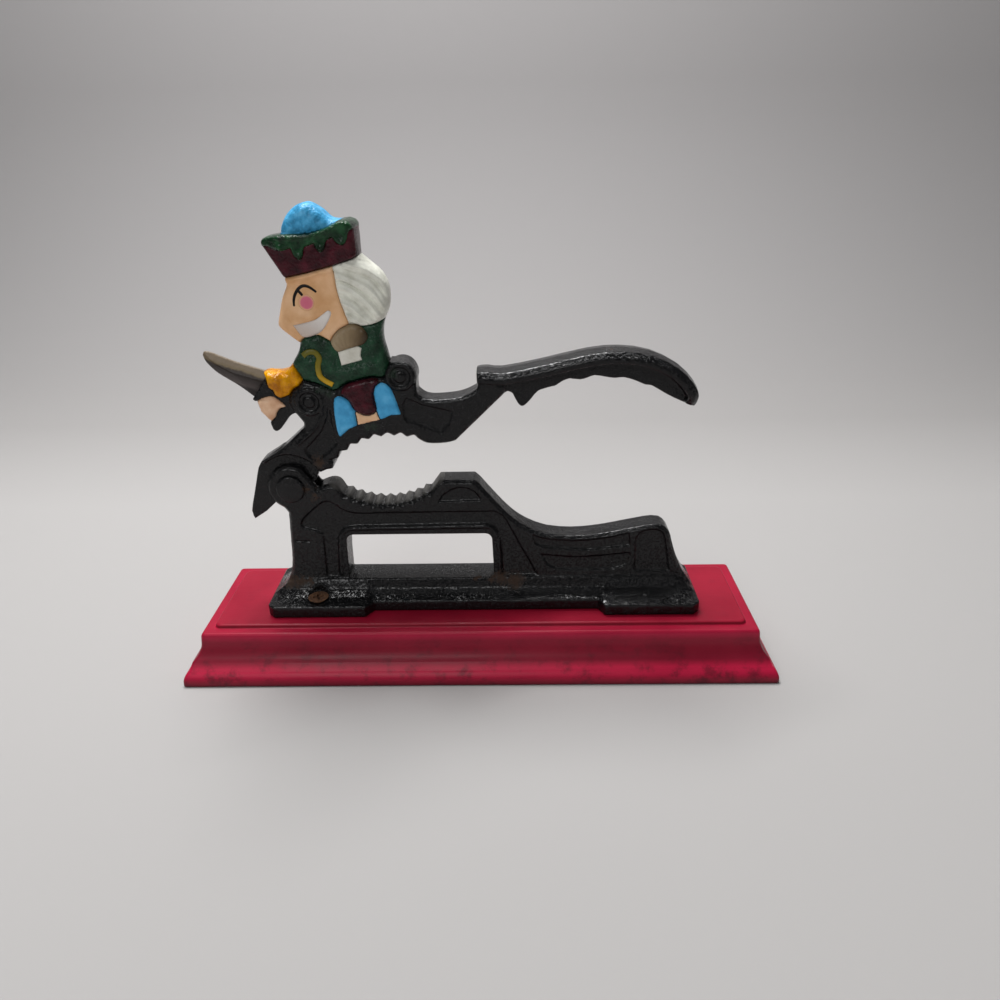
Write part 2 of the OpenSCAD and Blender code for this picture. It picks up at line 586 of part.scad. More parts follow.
// lower edge of the skirt, over the knees
hem = [[28.4, 33.1], [29.6, 31.8], [32, 30.6], [34.6, 30.6], [37, 32.2]];
skirt_outline = concat([[23.9, 38.8], [25.7, 37.5], [27.2, 35.7]], hem,
    [[36.8, 35.6], [36.5, 39], [37.4, 41.6], [39, 43.8], [36.5, 44.7], [30.7, 43.6], [26, 42]]);
left_leg_outline = concat([[29.4, 26.4], hem[0], [27.2, 35.7], [25.7, 37.3],
    [23.4, 38.2]], curve([[21.4, 36.8], [20.9, 32], [21.1, 25], [22, 21.6]], 2), [[25.9, 24.8]]);
right_leg_outline = concat([[38.2, 28.4], [42.4, 30.2], [46.4, 30.4]],
    curve([[45.4, 34.2], [43.7, 39.8], [41.9, 42.4], [39.6, 43.2]], 2),
    [[37.4, 41.6], [36.5, 39], [36.8, 35.6], [37, 32.2]]);
knees_outline = concat([[29.4, 26.4], [33.8, 27.4], [38.2, 28.4]], back(hem));
smile_outline = concat(curve([[9.8, 64.6], [13.8, 66.1], [17.5, 67.2], [20.2, 69.2], [22.6, 70],
    [23.4, 68.4], [19.6, 63.2], [15.8, 60.9]], 2), [[12.9, 60.2]]);
braid_path = curve([[12.4, 53.4], [14, 55.2], [16.3, 55.4], [17.7, 53.8], [18, 50.8], [18.4, 48.2],
                    [16.8, 46], [19, 44.2], [21.8, 43.2]], 2);

// relief that lies on both faces of the arm or of the figure
module applied(outline, t, h, dome) {
    both_faces() translate([0, -t / 2, 0]) intersection() {
        pad(outline, 2 * h, dome, [0, 50]);
        translate([0, -20, 40]) cube([300, 40, 300], center = true);
    }
}

module sword_blade() { color("#5a5048") on_hinge() pad(blade_outline(), blade_edge_t, blade_dome); }
module sword_hand() {
    color("#cda27c") on_hinge() pad(concat([[-7.6, 31.6]], back(hand_line)), figure_t, 1);
}
module gauntlet() { color("#d18a08") on_hinge() pad(gauntlet_outline(), figure_t, 1.6); }

module coat() {
    color("#1c3424") on_hinge() difference() {
        pad(coat_outline(), figure_t, coat_dome);
        plate(epaulette_outline, 30);
        plate(sash_outline, 30);
        both_faces() translate([0, -figure_t / 2 - coat_dome * 0.4, 0]) coat_braid_strip(20, -10);
    }
}
module coat_braid_strip(h, y) { translate([0, y, 0]) plate(strip(braid_path, 1.8), h); }
module coat_braid() {
    color("#8a7a1a") on_hinge() both_faces()
        translate([0, -figure_t / 2 - coat_dome * 0.4, 0]) coat_braid_strip(1.8, -0.9);
}
module epaulette() { color("#6b5a3f") on_hinge() pad(epaulette_outline, figure_t + 1, 2.4); }
module sash() { color("#c9c7bd") on_hinge() pad(sash_outline, figure_t + 1, 1); }
module skirt() { color("#4a1a24") on_hinge() applied(skirt_outline, arm_t, leg_h, 1.2); }
module left_leg() { color("#3f94c4") on_hinge() applied(left_leg_outline, arm_t, leg_h, 0.8); }
module right_leg() { color("#3f94c4") on_hinge() applied(right_leg_outline, arm_t, leg_h, 0.8); }
module knees() {
    color("#d3a680") on_hinge() both_faces()
        translate([0, -arm_t / 2 - leg_h * 0.3, 0]) plate(knees_outline, leg_h * 0.6);
}

module face() {
    color("#cda27c") on_hinge() difference() {
        pad(face_outline(), figure_t + 2, face_dome);
        both_faces() translate([0, -figure_t / 2 - 1 - face_dome * 0.4 - 10, 0])
            plate(smile_outline, 20);
        both_faces() cheek_disc(20);
    }
}
module cheek_disc(h) {
    translate([16, -figure_t / 2 - 1 - face_dome * 0.6, 72.6])
        rotate([90, 0, 0]) cylinder(r = 2.8, h = h, $fn = 32);
}
module smile() {
    color("#c4beb8") on_hinge() both_faces()
        translate([0, -figure_t / 2 - 1 - face_dome * 0.4 - 0.75, 0]) plate(smile_outline, 1.5);
}
module cheek() { color("#c9607f") on_hinge() both_faces() cheek_disc(face_dome * 0.5); }
module hair() { color("#d5d5c9") on_hinge() pad(hair_outline(), figure_t, hair_dome); }
module hat_band() { color("#4a1a24") on_hinge() plate(band_outline(), figure_t + 3); }
module hat_brim() { color("#1c3424") on_hinge() pad(brim_outline(), figure_t + 3, 0.8); }
module hat_crown() { color("#4fb0dc") on_hinge() pad(hat_crown_outline(), figure_t, crown_dome); }

plinth();
frame();
hinge_pin();
front_screw();
rear_screw();
lever();
sword_blade();
sword_hand();
gauntlet();
coat();
coat_braid();
epaulette();
sash();
skirt();
left_leg();
right_leg();
knees();
face();
smile();
cheek();
hair();
hat_band();
hat_brim();
hat_crown();
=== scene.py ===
import json
import math

import bmesh
import bpy
import numpy as np
from mathutils import Matrix, Vector
from mathutils.geometry import delaunay_2d_cdt


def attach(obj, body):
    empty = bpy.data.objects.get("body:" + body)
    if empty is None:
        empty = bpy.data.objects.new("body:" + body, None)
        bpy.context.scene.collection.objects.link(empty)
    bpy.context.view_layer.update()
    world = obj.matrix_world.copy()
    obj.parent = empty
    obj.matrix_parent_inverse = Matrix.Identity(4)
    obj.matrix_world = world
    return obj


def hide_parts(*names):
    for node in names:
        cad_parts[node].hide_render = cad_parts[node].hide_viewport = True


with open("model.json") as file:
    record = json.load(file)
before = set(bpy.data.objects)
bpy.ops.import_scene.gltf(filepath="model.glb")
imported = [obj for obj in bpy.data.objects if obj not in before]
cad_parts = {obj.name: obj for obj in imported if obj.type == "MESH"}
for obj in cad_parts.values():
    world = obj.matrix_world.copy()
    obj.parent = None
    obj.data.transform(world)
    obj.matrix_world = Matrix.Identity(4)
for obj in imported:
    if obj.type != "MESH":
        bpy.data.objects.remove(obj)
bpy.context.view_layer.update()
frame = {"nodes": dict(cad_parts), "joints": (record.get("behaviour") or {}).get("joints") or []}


# ---------------------------------------------------------------- camera
# The photograph was taken from just above the table, a little left of the press's middle.
# Its lens is wide, so the plinth's near edge shows longer than its far one.
MM = 0.001
CAMERA_AT = (14.31, -274.68, 199.48)
PITCH, YAW, ROLL = 0.450, -0.019, -0.019
LENS, FILM_WIDTH = 27.04, 36
NEAREST, FARTHEST = 0.01, 20


def add_object(name, data):
    """An object in the scene, at the origin."""
    made = bpy.data.objects.new(name, data)
    bpy.context.scene.collection.objects.link(made)
    return made


look = Vector((math.sin(YAW) * math.cos(PITCH), math.cos(YAW) * math.cos(PITCH), -math.sin(PITCH)))
level = Vector((math.cos(YAW), -math.sin(YAW), 0))
upright = level.cross(look)
right = level * math.cos(ROLL) + upright * math.sin(ROLL)
top = -level * math.sin(ROLL) + upright * math.cos(ROLL)
camera_data = bpy.data.cameras.new("camera")
camera_data.lens = LENS
camera_data.sensor_width = FILM_WIDTH
camera_data.clip_start = NEAREST
camera_data.clip_end = FARTHEST
camera = add_object("camera", camera_data)
camera.matrix_world = Matrix((
    (right.x, top.x, -look.x, CAMERA_AT[0] * MM),
    (right.y, top.y, -look.y, CAMERA_AT[1] * MM),
    (right.z, top.z, -look.z, CAMERA_AT[2] * MM),
    (0, 0, 0, 1)))
bpy.context.scene.camera = camera
bpy.context.scene.view_settings.view_transform = "Standard"


# ---------------------------------------------------------------- table and light
# A pale sweep of paper carries the press and rises behind it.
# One broad lamp hangs over and behind the press, and a weak one fills from the front.
FLOOR_FRONT, FLOOR_BACK, BEND_RADIUS, PAPER_TOP, HALF_WIDTH = -2000, 350, 250, 2500, 2500
BEND_STEPS = 12
ROOM_LIGHT = 0.2


def linear(hexcode):
    """An sRGB hex colour as linear red, green and blue."""
    channels = [int(hexcode[i:i + 2], 16) / 255 for i in (1, 3, 5)]
    return tuple(c / 12.92 if c <= 0.04045 else ((c + 0.055) / 1.055) ** 2.4 for c in channels) + (1,)


def node(tree, kind, feeds=None, stops=(), **settings):
    """Adds a node, with its settings and what feeds its inputs. ShaderNode is left out of its type.
    A node as a feed means its first output. Stops are a colour ramp's places and hex colours."""
    made = tree.nodes.new(kind if "Node" in kind else "ShaderNode" + kind)
    for key, value in settings.items():
        setattr(made, key, value)
    for key, value in (feeds or {}).items():
        if isinstance(value, bpy.types.Node):
            value = value.outputs[0]
        if isinstance(value, bpy.types.NodeSocket):
            tree.links.new(value, made.inputs[key])
        else:
            made.inputs[key].default_value = value
    if stops:
        elements = made.color_ramp.elements
        while len(elements) < len(stops):
            elements.new(0.5)
        for element, (place, colour) in zip(elements, stops):
            element.position = place
            element.color = linear(colour)
    return made


def new_material(name):
    """An empty material, its tree, and the place in millimetres of each point on the piece."""
    material = bpy.data.materials.new(name)
    material.use_nodes = True
    tree = material.node_tree
    tree.nodes.clear()
    metres = node(tree, "TexCoord").outputs["Object"]
    return material, tree, node(tree, "VectorMath", {0: metres, "Scale": 1000}, operation="SCALE")


def new_object(name, bm, material):
    """Turns a bmesh in millimetres into a smooth object in metres."""
    bmesh.ops.scale(bm, vec=(MM, MM, MM), verts=bm.verts)
    mesh = bpy.data.meshes.new(name)
    bm.to_mesh(mesh)
    bm.free()
    mesh.shade_smooth()
    mesh.materials.append(material)
    return add_object(name, mesh)


# what the camera sees is set by the ramp, and the light that the paper throws back by THROWN; the ramp is
# painted shade, darker where the paper rises behind the press
THROWN = "#c4c2c1"
paper, tree, place = new_material("matt_paper")
path = node(tree, "LightPath")
seen = node(tree, "Math", {0: path.outputs["Is Camera Ray"], 1: path.outputs["Is Glossy Ray"]},
            operation="MAXIMUM")
seen = node(tree, "Math", {0: seen, 1: path.outputs["Is Transmission Ray"]}, operation="MAXIMUM")
split = node(tree, "SeparateXYZ", {0: place})
deep = node(tree, "MapRange", {0: split.outputs["Y"], 1: -200, 2: 600})
painted_backdrop_shade = node(tree, "ValToRGB", {0: deep},
             stops=[(0, "#a19f9e"), (0.42, "#a3a1a0"), (0.6, "#969493"), (1, "#959393")])
tone = node(tree, "Mix", {0: seen, 6: linear(THROWN), 7: painted_backdrop_shade}, data_type="RGBA")
sheet = node(tree, "BsdfDiffuse", {0: tone.outputs[2]})
node(tree, "OutputMaterial", {0: sheet})

side = [(FLOOR_FRONT, 0), (FLOOR_BACK, 0)]
for i in range(1, BEND_STEPS + 1):
    angle = i * math.pi / 2 / BEND_STEPS
    side.append((FLOOR_BACK + BEND_RADIUS * math.sin(angle), BEND_RADIUS - BEND_RADIUS * math.cos(angle)))
side.append((FLOOR_BACK + BEND_RADIUS, PAPER_TOP))
bm = bmesh.new()
rows = [[bm.verts.new((x, y, z)) for x in (-HALF_WIDTH, HALF_WIDTH)] for y, z in side]
for a, b in zip(rows, rows[1:]):
    bm.faces.new((a[0], a[1], b[1], b[0]))
new_object("paper_sweep", bm, paper)


def lamp(name, at, towards, size, power):
    """A rectangular white area lamp that faces a point."""
    data = bpy.data.lights.new(name, "AREA")
    data.shape = "RECTANGLE"
    data.size, data.size_y = size
    data.energy = power
    made = add_object(name, data)
    made.location = at
    made.rotation_euler = (Vector(towards) - Vector(at)).to_track_quat("-Z", "Y").to_euler()


lamp("overhead", at=(-0.12, 0.22, 0.9), towards=(0, 0, 0.05), size=(0.5, 0.36), power=13.0)
lamp("front_fill", at=(-0.3, -0.9, 0.75), towards=(0, 0, 0.06), size=(0.7, 0.5), power=4.2)
world = bpy.data.worlds.new("room")
world.use_nodes = True
world.node_tree.nodes["Background"].inputs["Color"].default_value = linear("#e4e4e6")
world.node_tree.nodes["Background"].inputs["Strength"].default_value = ROOM_LIGHT
bpy.context.scene.world = world


# ---------------------------------------------------------------- plinth
# A board of close-grained wood with a run moulding on all four sides and a raised panel on top.
# It is sprayed with thin red gloss paint, which has worn dull and dark along the lower bead.
SLAB_X, SLAB_Y, SLAB_Z = 112.0, 25.5, 20.4
PANEL_SET_IN, PANEL_Z = 3.2, 21.8
CORNER, PANEL_CORNER, CORNER_STEPS = 1.3, 2.6, 6
FLAT_ABOVE = 0.98


def curve(points, steps=3):
    """A smooth open curve through points, with so many steps between two of them."""
    points = [np.array(p, float) for p in points]
    last = len(points) - 1
    made = []
    for i in range(last):
        a, b = points[max(i - 1, 0)], points[i]
        c, d = points[i + 1], points[min(i + 2, last)]
        for k in range(steps):
            t = k / steps
            made.append(0.5 * (2 * b + (c - a) * t + (2 * a - 5 * b + 4 * c - d) * t * t
                               + (3 * b - a - 3 * c + d) * t ** 3))
    return [tuple(p) for p in made + [points[last]]]


def arc(centre, radius, start, end, steps):
    """Points of an arc, its angles in degrees."""
    return [(centre[0] + radius * math.cos(math.radians(start + (end - start) * i / steps)),
             centre[1] + radius * math.sin(math.radians(start + (end - start) * i / steps)))
            for i in range(steps + 1)]


# the profile runs up from the foot: how far out of the slab's side, and how high
profile = ([(8.3, 0), (8.6, 0.4), (8.6, 1.0)] + arc((2.4, 1.2), 6.2, 6, 52, 10)[1:]
           + curve([(4.9, 9.0), (3.0, 11.0), (1.5, 14.3), (1.0, 18.0)], 8)[:-1]
           + curve([(1.0, 18.0), (0.8, 19.4), (0.3, 20.2), (-0.4, 20.4)], 4)
           + [(-PANEL_SET_IN + 0.35, SLAB_Z - 0.02), (-PANEL_SET_IN, SLAB_Z - 0.25),
              (-PANEL_SET_IN - 0.25, SLAB_Z - 0.05)]
           + curve([(-PANEL_SET_IN - 0.4, SLAB_Z + 0.5), (-PANEL_SET_IN - 0.6, PANEL_Z - 0.3),
                    (-PANEL_SET_IN - 1.2, PANEL_Z)], 4))
bm = bmesh.new()
loops = []
for out_by, z in profile:
    loop = []
    corner = CORNER if out_by > -PANEL_SET_IN + 0.4 else PANEL_CORNER
    for sx, sy, start in ((-1, -1, 180), (1, -1, 270), (1, 1, 0), (-1, 1, 90)):
        centre = (sx * (SLAB_X + out_by - corner), sy * (SLAB_Y + out_by - corner))
        for x, y in arc(centre, corner, start, start + 90, CORNER_STEPS):
            loop.append(bm.verts.new((x, y, z)))
    loops.append(loop)
count = len(loops[0])
for low, high in zip(loops, loops[1:]):
    for i in range(count):
        bm.faces.new((low[i], low[(i + 1) % count], high[(i + 1) % count], high[i]))
bm.faces.new(loops[0][::-1])
bm.faces.new(loops[-1])

red, tree, place = new_material("sprayed_red_gloss_on_wood")
grain_space = node(tree, "Mapping", {0: place, "Scale": (0.05, 0.9, 0.9)})
cloud = node(tree, "TexNoise", {"Vector": place, "Scale": 0.045, "Detail": 4})
grain = node(tree, "TexNoise", {"Vector": grain_space, "Scale": 0.8, "Detail": 3})
specks = node(tree, "TexNoise", {"Vector": place, "Scale": 0.13, "Detail": 6, "Roughness": 0.68})
height = node(tree, "SeparateXYZ", {0: place}).outputs["Z"]
share_of_height = node(tree, "MapRange", {0: height, 1: 0.0, 2: 22.0})
# the colour runs by height: darkest at the foot, lighter on the bead as a painted highlight, darker through
# the cove, a painted highlight along the moulding's top edge, and painted shade in the groove round the panel
tint = node(tree, "ValToRGB", {0: share_of_height},
            stops=[(0.0, "#4a0c1a"), (0.08, "#7c1028"), (0.2, "#a01335"), (0.31, "#a81638"),
                   (0.43, "#700d23"), (0.6, "#760e24"), (0.76, "#80122a"), (0.86, "#9c1536"),
                   (0.925, "#94102e"), (0.94, "#740b20"), (0.985, "#8a1029"), (1.0, "#860f27")])
patchy = node(tree, "MapRange", {0: cloud, 1: 0.3, 2: 0.7, 3: 0.9, 4: 1.12})
tint = node(tree, "VectorMath", {0: tint, "Scale": patchy}, operation="SCALE")
# dirt gathers low on the moulding, in ragged patches
low = node(tree, "MapRange", {0: height, 1: 19.0, 2: 3.0, 3: 0.15})
worn = node(tree, "MapRange", {0: specks, 1: 0.5, 2: 0.64})
dirt = node(tree, "Math", {0: low, 1: worn}, operation="MULTIPLY")
dirt = node(tree, "Math", {0: dirt, 1: 0.62}, operation="MULTIPLY")
colour = node(tree, "Mix", {0: dirt, 6: tint, 7: linear("#38131b")}, data_type="RGBA")
mixed = node(tree, "Math", {0: grain, 1: 0.5}, operation="MULTIPLY")
mixed = node(tree, "Math", {0: mixed, 1: specks}, operation="ADD")
bump = node(tree, "Bump", {"Strength": 0.3, "Distance": 0.0003, "Height": mixed})
rough = node(tree, "MapRange", {0: cloud, 1: 0.3, 2: 0.7, 3: 0.3, 4: 0.44})
shader = node(tree, "BsdfPrincipled",
              {"Base Color": colour.outputs[2], "Roughness": rough, "Normal": bump, "IOR": 1.48,
               "Specular IOR Level": 0.2})
node(tree, "OutputMaterial", {0: shader})

plinth = new_object("painted_plinth", bm, red)
for face in plinth.data.polygons:
    face.use_smooth = abs(face.normal.z) < FLAT_ABOVE
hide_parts("plinth")
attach(plinth, "base")

# ---------------------------------------------------------------- castings
# The frame and the lever are sand castings of grey iron, each in one piece.
# They are dipped in black enamel, which rounds their edges and keeps the grain of the sand.
JAW_CENTRE, JAW_RADIUS, TEETH_TOP = (-36.4, 0, 99.7), 31.0, 82.0

enamel, tree, place = new_material("black_enamel_on_sand_cast_iron")
# the sand's grains are drawn about a millimetre across, coarser than they are, so that they show
sand = node(tree, "TexNoise", {"Vector": place, "Scale": 1.15, "Detail": 3, "Roughness": 0.65})
lumps = node(tree, "TexNoise", {"Vector": place, "Scale": 0.3, "Detail": 2})
relief_height = node(tree, "Math", {0: lumps, 1: 1.1}, operation="MULTIPLY")
# only the highest grains stand out of the coat, so that a smooth gloss is left between them
peaks = node(tree, "MapRange", {0: sand, 1: 0.5, 2: 0.72, 3: 0, 4: 0.45})
relief_height = node(tree, "Math", {0: relief_height, 1: peaks}, operation="ADD")
bump = node(tree, "Bump", {"Strength": 0.8, "Distance": 0.0004, "Height": relief_height})
tint = node(tree, "ValToRGB", {0: sand},
            stops=[(0.35, "#040405"), (0.6, "#09090b"), (0.75, "#121215")])
rough = node(tree, "MapRange", {0: sand, 1: 0.3, 2: 0.7, 3: 0.12, 4: 0.26})


def blots(tree, place, spots, edge):
    """1 inside any of some ragged spots, each a centre in mm and a radius, and 0 away from them."""
    ragged = node(tree, "TexNoise", {"Vector": place, "Scale": 0.55, "Detail": 4, "Roughness": 0.7})
    shift = node(tree, "MapRange", {0: ragged, 1: 0.3, 2: 0.7, 3: -edge, 4: edge})
    most = None
    for x, y, z, reach in spots:
        gap = node(tree, "VectorMath", {0: place, 1: (x, y, z)}, operation="DISTANCE")
        gap = node(tree, "Math", {0: gap.outputs["Value"], 1: shift}, operation="ADD")
        part = node(tree, "MapRange", {0: gap, 1: reach, 2: reach * 0.45, 3: 0, 4: 1})
        if most is None:
            most = part
        else:
            most = node(tree, "Math", {0: most, 1: part}, operation="MAXIMUM")
    return most


# bare rusty places where hands, nuts and screws have worn the coat through
rust = blots(tree, place, [(-79.5, -6.4, 33.2, 3.4), (-75.5, -6.6, 33.0, 3.0), (-71, -7, 33.4, 2.4),
                           (5.5, -6.2, 34.2, 2.6), (9.5, -6.8, 33.6, 3.6), (15, -7.4, 32.6, 4.2),
                           (-61.2, -4.6, 86.6, 2.8), (-64.5, -4, 71.8, 2.4), (-67.6, -5.6, 75.0, 1.6),
                           (51.5, -2, 130.6, 1.8), (-1, -6, 34, 1.6)], edge=1.9)
# drops of the coat's green paint beside the scrolls and under the legs
spilt = blots(tree, place, [(-53.6, -6, 114.6, 2.6), (-56.4, -6, 116.2, 2.6), (-41, -6, 100.8, 2.0),
                            (-38.2, -6, 100.9, 2.2), (-29.4, -6, 121.4, 2.4)], edge=1.0)
rusty = node(tree, "Math", {0: rust, 1: 0.62}, operation="MULTIPLY")
green = node(tree, "Math", {0: spilt, 1: 0.8}, operation="MULTIPLY")
tint = node(tree, "Mix", {0: green, 6: tint, 7: linear("#16241a")}, data_type="RGBA").outputs[2]
tint = node(tree, "Mix", {0: rusty, 6: tint, 7: linear("#3f2c1e")}, data_type="RGBA").outputs[2]
rough = node(tree, "Mix", {0: rust, 2: rough, 3: 0.7}, data_type="FLOAT")
# the upward faces of the lower jaw's teeth are drawn a dull grey: iron rubbed bare by nuts, and a painted
# highlight of the light that falls on them
from_jaw = node(tree, "VectorMath", {0: place, 1: JAW_CENTRE}, operation="SUBTRACT")
from_jaw = node(tree, "VectorMath", {0: from_jaw, 1: (1, 0, 1)}, operation="MULTIPLY")
from_jaw = node(tree, "VectorMath", {0: from_jaw}, operation="LENGTH").outputs["Value"]
near = node(tree, "MapRange", {0: from_jaw, 1: JAW_RADIUS + 1.4, 2: JAW_RADIUS + 0.4})
facing = node(tree, "TexCoord").outputs["Normal"]
facing = node(tree, "SeparateXYZ", {0: facing}).outputs["Z"]
facing = node(tree, "MapRange", {0: facing, 1: 0.2, 2: 0.6})
below = node(tree, "SeparateXYZ", {0: place}).outputs["Z"]
below = node(tree, "MapRange", {0: below, 1: TEETH_TOP + 2, 2: TEETH_TOP - 2, 4: 0.8})
teeth_wear_and_highlight = node(tree, "Math", {0: near, 1: facing}, operation="MULTIPLY")
teeth_wear_and_highlight = node(tree, "Math", {0: teeth_wear_and_highlight, 1: below}, operation="MULTIPLY")
tint = node(tree, "Mix", {0: teeth_wear_and_highlight, 6: tint, 7: linear("#484643")}, data_type="RGBA").outputs[2]
rough = node(tree, "Mix", {0: teeth_wear_and_highlight, 2: rough, 3: 0.55}, data_type="FLOAT")
shader = node(tree, "BsdfPrincipled",
              {"Base Color": tint, "Roughness": rough, "Normal": bump, "IOR": 1.5,
               "Specular IOR Level": 0.32})
node(tree, "OutputMaterial", {0: shader})

BEAD_STEPS, BEAD_SIDES, BEAD_RADIUS = 36, 12, 0.85
WELD = 0.00001


def bake(made):
    """Turns what an object's modifiers make into its own plain mesh."""
    solid = bpy.data.meshes.new_from_object(made.evaluated_get(bpy.context.evaluated_depsgraph_get()))
    made.modifiers.clear()
    made.data = solid


def cast(name, source, voxel, rounds, kept, beads=()):
    """A copy of a node's solid with its edges rounded as a sand mould and enamel leave them.
    Each bead is an arc raised on both faces: its centre, radius, two angles and depth, in mm."""
    mesh = frame["nodes"][source].data.copy()
    made = add_object(name, mesh)
    welded = bmesh.new()
    welded.from_mesh(mesh)
    bmesh.ops.remove_doubles(welded, verts=welded.verts, dist=WELD)
    turns = [math.tau * k / BEAD_SIDES for k in range(BEAD_SIDES)]
    for (x, z), radius, start, end, depth in beads:
        for side in (-1, 1):
            rings = []
            for i, (px, pz) in enumerate(arc((x, z), radius, start, end, BEAD_STEPS)):
                # the roll swells from a thin end over five steps, and thins again at the other
                fat = BEAD_RADIUS * min(1, 0.3 + i / 5, 0.3 + (BEAD_STEPS - i) / 5)
                out_x, out_z = (px - x) / radius, (pz - z) / radius
                rings.append([welded.verts.new((
                    (px + out_x * fat * math.cos(turn)) * MM,
                    side * (depth + 1.3 * fat * math.sin(turn)) * MM,
                    (pz + out_z * fat * math.cos(turn)) * MM)) for turn in turns])
            added = [welded.faces.new((a[k], a[(k + 1) % BEAD_SIDES], b[(k + 1) % BEAD_SIDES], b[k]))
                     for a, b in zip(rings, rings[1:]) for k in range(BEAD_SIDES)]
            added += [welded.faces.new(rings[0]), welded.faces.new(rings[-1])]
            bmesh.ops.recalc_face_normals(welded, faces=added)
    welded.to_mesh(mesh)
    welded.free()
    shrink = made.modifiers.new("skin", "REMESH")
    shrink.mode = "VOXEL"
    shrink.voxel_size = voxel * MM
    soften = made.modifiers.new("edges", "SMOOTH")
    soften.factor = 0.5
    soften.iterations = rounds
    thin = made.modifiers.new("fewer_faces", "DECIMATE")
    thin.ratio = kept
    bake(made)
    made.data.shade_smooth()
    made.data.materials.clear()
    made.data.materials.append(enamel)
    return made


stand = cast("cast_frame", "frame", voxel=0.42, rounds=4, kept=0.5)
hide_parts("frame")
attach(stand, "base")
SCROLLS = [((-61.7, 111.1), 5.0, -70, 205, 5.0), ((-26.9, 120.4), 4.9, -60, 215, 5.0)]
arm = cast("cast_lever", "lever", voxel=0.38, rounds=4, kept=0.6, beads=SCROLLS)
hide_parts("lever")
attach(arm, "lever")

# ---------------------------------------------------------------- hinge pin
# A steel pin with two low heads, riveted over the ears and dipped with the frame.
# Its edge is rounded, so that it draws a bright line of light round the upper left.
HINGE_X, _, HINGE_Z = (round(v / MM, 1) for v in frame["joints"][0]["pos_m"])
EAR_FACE, PIN_SIDES = 5.5, 72
head = ([(0.0, EAR_FACE + 1.48), (3.0, EAR_FACE + 1.45)]
        + arc((4.7, EAR_FACE + 0.38), 1.0, 84, 0, 8) + [(5.7, EAR_FACE), (3.0, EAR_FACE - 0.02)])
bm = bmesh.new()
rings = []
for radius, y in head[1:] + [(radius, -y) for radius, y in head[:0:-1]]:
    rings.append([bm.verts.new((HINGE_X + radius * math.cos(math.tau * i / PIN_SIDES), y,
                                HINGE_Z + radius * math.sin(math.tau * i / PIN_SIDES)))
                  for i in range(PIN_SIDES)])
for a, b in zip(rings, rings[1:]):
    for i in range(PIN_SIDES):
        bm.faces.new((a[i], a[(i + 1) % PIN_SIDES], b[(i + 1) % PIN_SIDES], b[i]))
for ring, y in ((rings[0], head[0][1]), (rings[-1], -head[0][1])):
    hub = bm.verts.new((HINGE_X, y, HINGE_Z))
    for i in range(PIN_SIDES):
        bm.faces.new((ring[i], ring[(i + 1) % PIN_SIDES], hub))
bmesh.ops.recalc_face_normals(bm, faces=bm.faces)
pin = new_object("riveted_pin", bm, enamel)
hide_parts("hinge_pin")
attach(pin, "base")

# ---------------------------------------------------------------- wood screws
# Two countersunk steel wood screws, set crosswise in the feet, hold the frame to the plinth.
# They were never dipped, and the damp of many kitchens has rusted their heads brown.
steel, tree, place = new_material("rusted_mild_steel")
crust = node(tree, "TexNoise", {"Vector": place, "Scale": 0.9, "Detail": 4, "Roughness": 0.7})
tint = node(tree, "ValToRGB", {0: crust},
            stops=[(0.3, "#2e2019"), (0.5, "#5a3e2b"), (0.7, "#7d5a3d")])
bump = node(tree, "Bump", {"Strength": 0.6, "Distance": 0.0003, "Height": crust})
shader = node(tree, "BsdfPrincipled",
              {"Base Color": tint, "Metallic": 0.15, "Roughness": 0.62, "Normal": bump})
node(tree, "OutputMaterial", {0: shader})

# the maker's inputs, in metres
SCREW = {"Head Width": 0.0084, "Shank Width": 0.0042, "Length": 0.019, "Pitch": 0.0016,
         "Thread Height": 0.0004, "Point Radius": 0.0003, "Recess": (0.0046, 0.0011, 0.0026),
         "Front Seat": (-0.067, -0.0115, 0.0286), "Rear Seat": (0.070, 0.0115, 0.0286), "Metal": steel}
HEAD_SIDES, SHANK_SIDES, THREAD_STEPS, RECESS_TURNS = 48, 32, 24, (20, 110)

maker = bpy.data.node_groups.new("wood_screw_maker", "GeometryNodeTree")
for label, value in SCREW.items():
    kind = "Float" if isinstance(value, float) else "Vector" if isinstance(value, tuple) else "Material"
    maker.interface.new_socket(label, in_out="INPUT", socket_type="NodeSocket" + kind)
maker.interface.new_socket("Screws", in_out="OUTPUT", socket_type="NodeSocketGeometry")
given = {socket.name: socket for socket in node(maker, "NodeGroupInput").outputs}
for label, first, how, second in (
        ("Head Radius", "Head Width", "MULTIPLY", 0.5), ("Shank Radius", "Shank Width", "MULTIPLY", 0.5),
        ("Taper", "Head Radius", "SUBTRACT", "Shank Radius"), ("Under Head", "Taper", "MULTIPLY", -1.0),
        ("Tip", "Length", "MULTIPLY", -1.0), ("Below Taper", "Length", "SUBTRACT", "Taper"),
        ("Body", "Below Taper", "SUBTRACT", "Shank Width"), ("Half Body", "Body", "MULTIPLY", 0.5),
        ("Body Middle", "Under Head", "SUBTRACT", "Half Body"),
        ("Body Foot", "Under Head", "SUBTRACT", "Body"), ("Turns", "Body", "DIVIDE", "Pitch")):
    second = given.get(second, second)
    given[label] = node(maker, "Math", {0: given[first], 1: second}, operation=how)

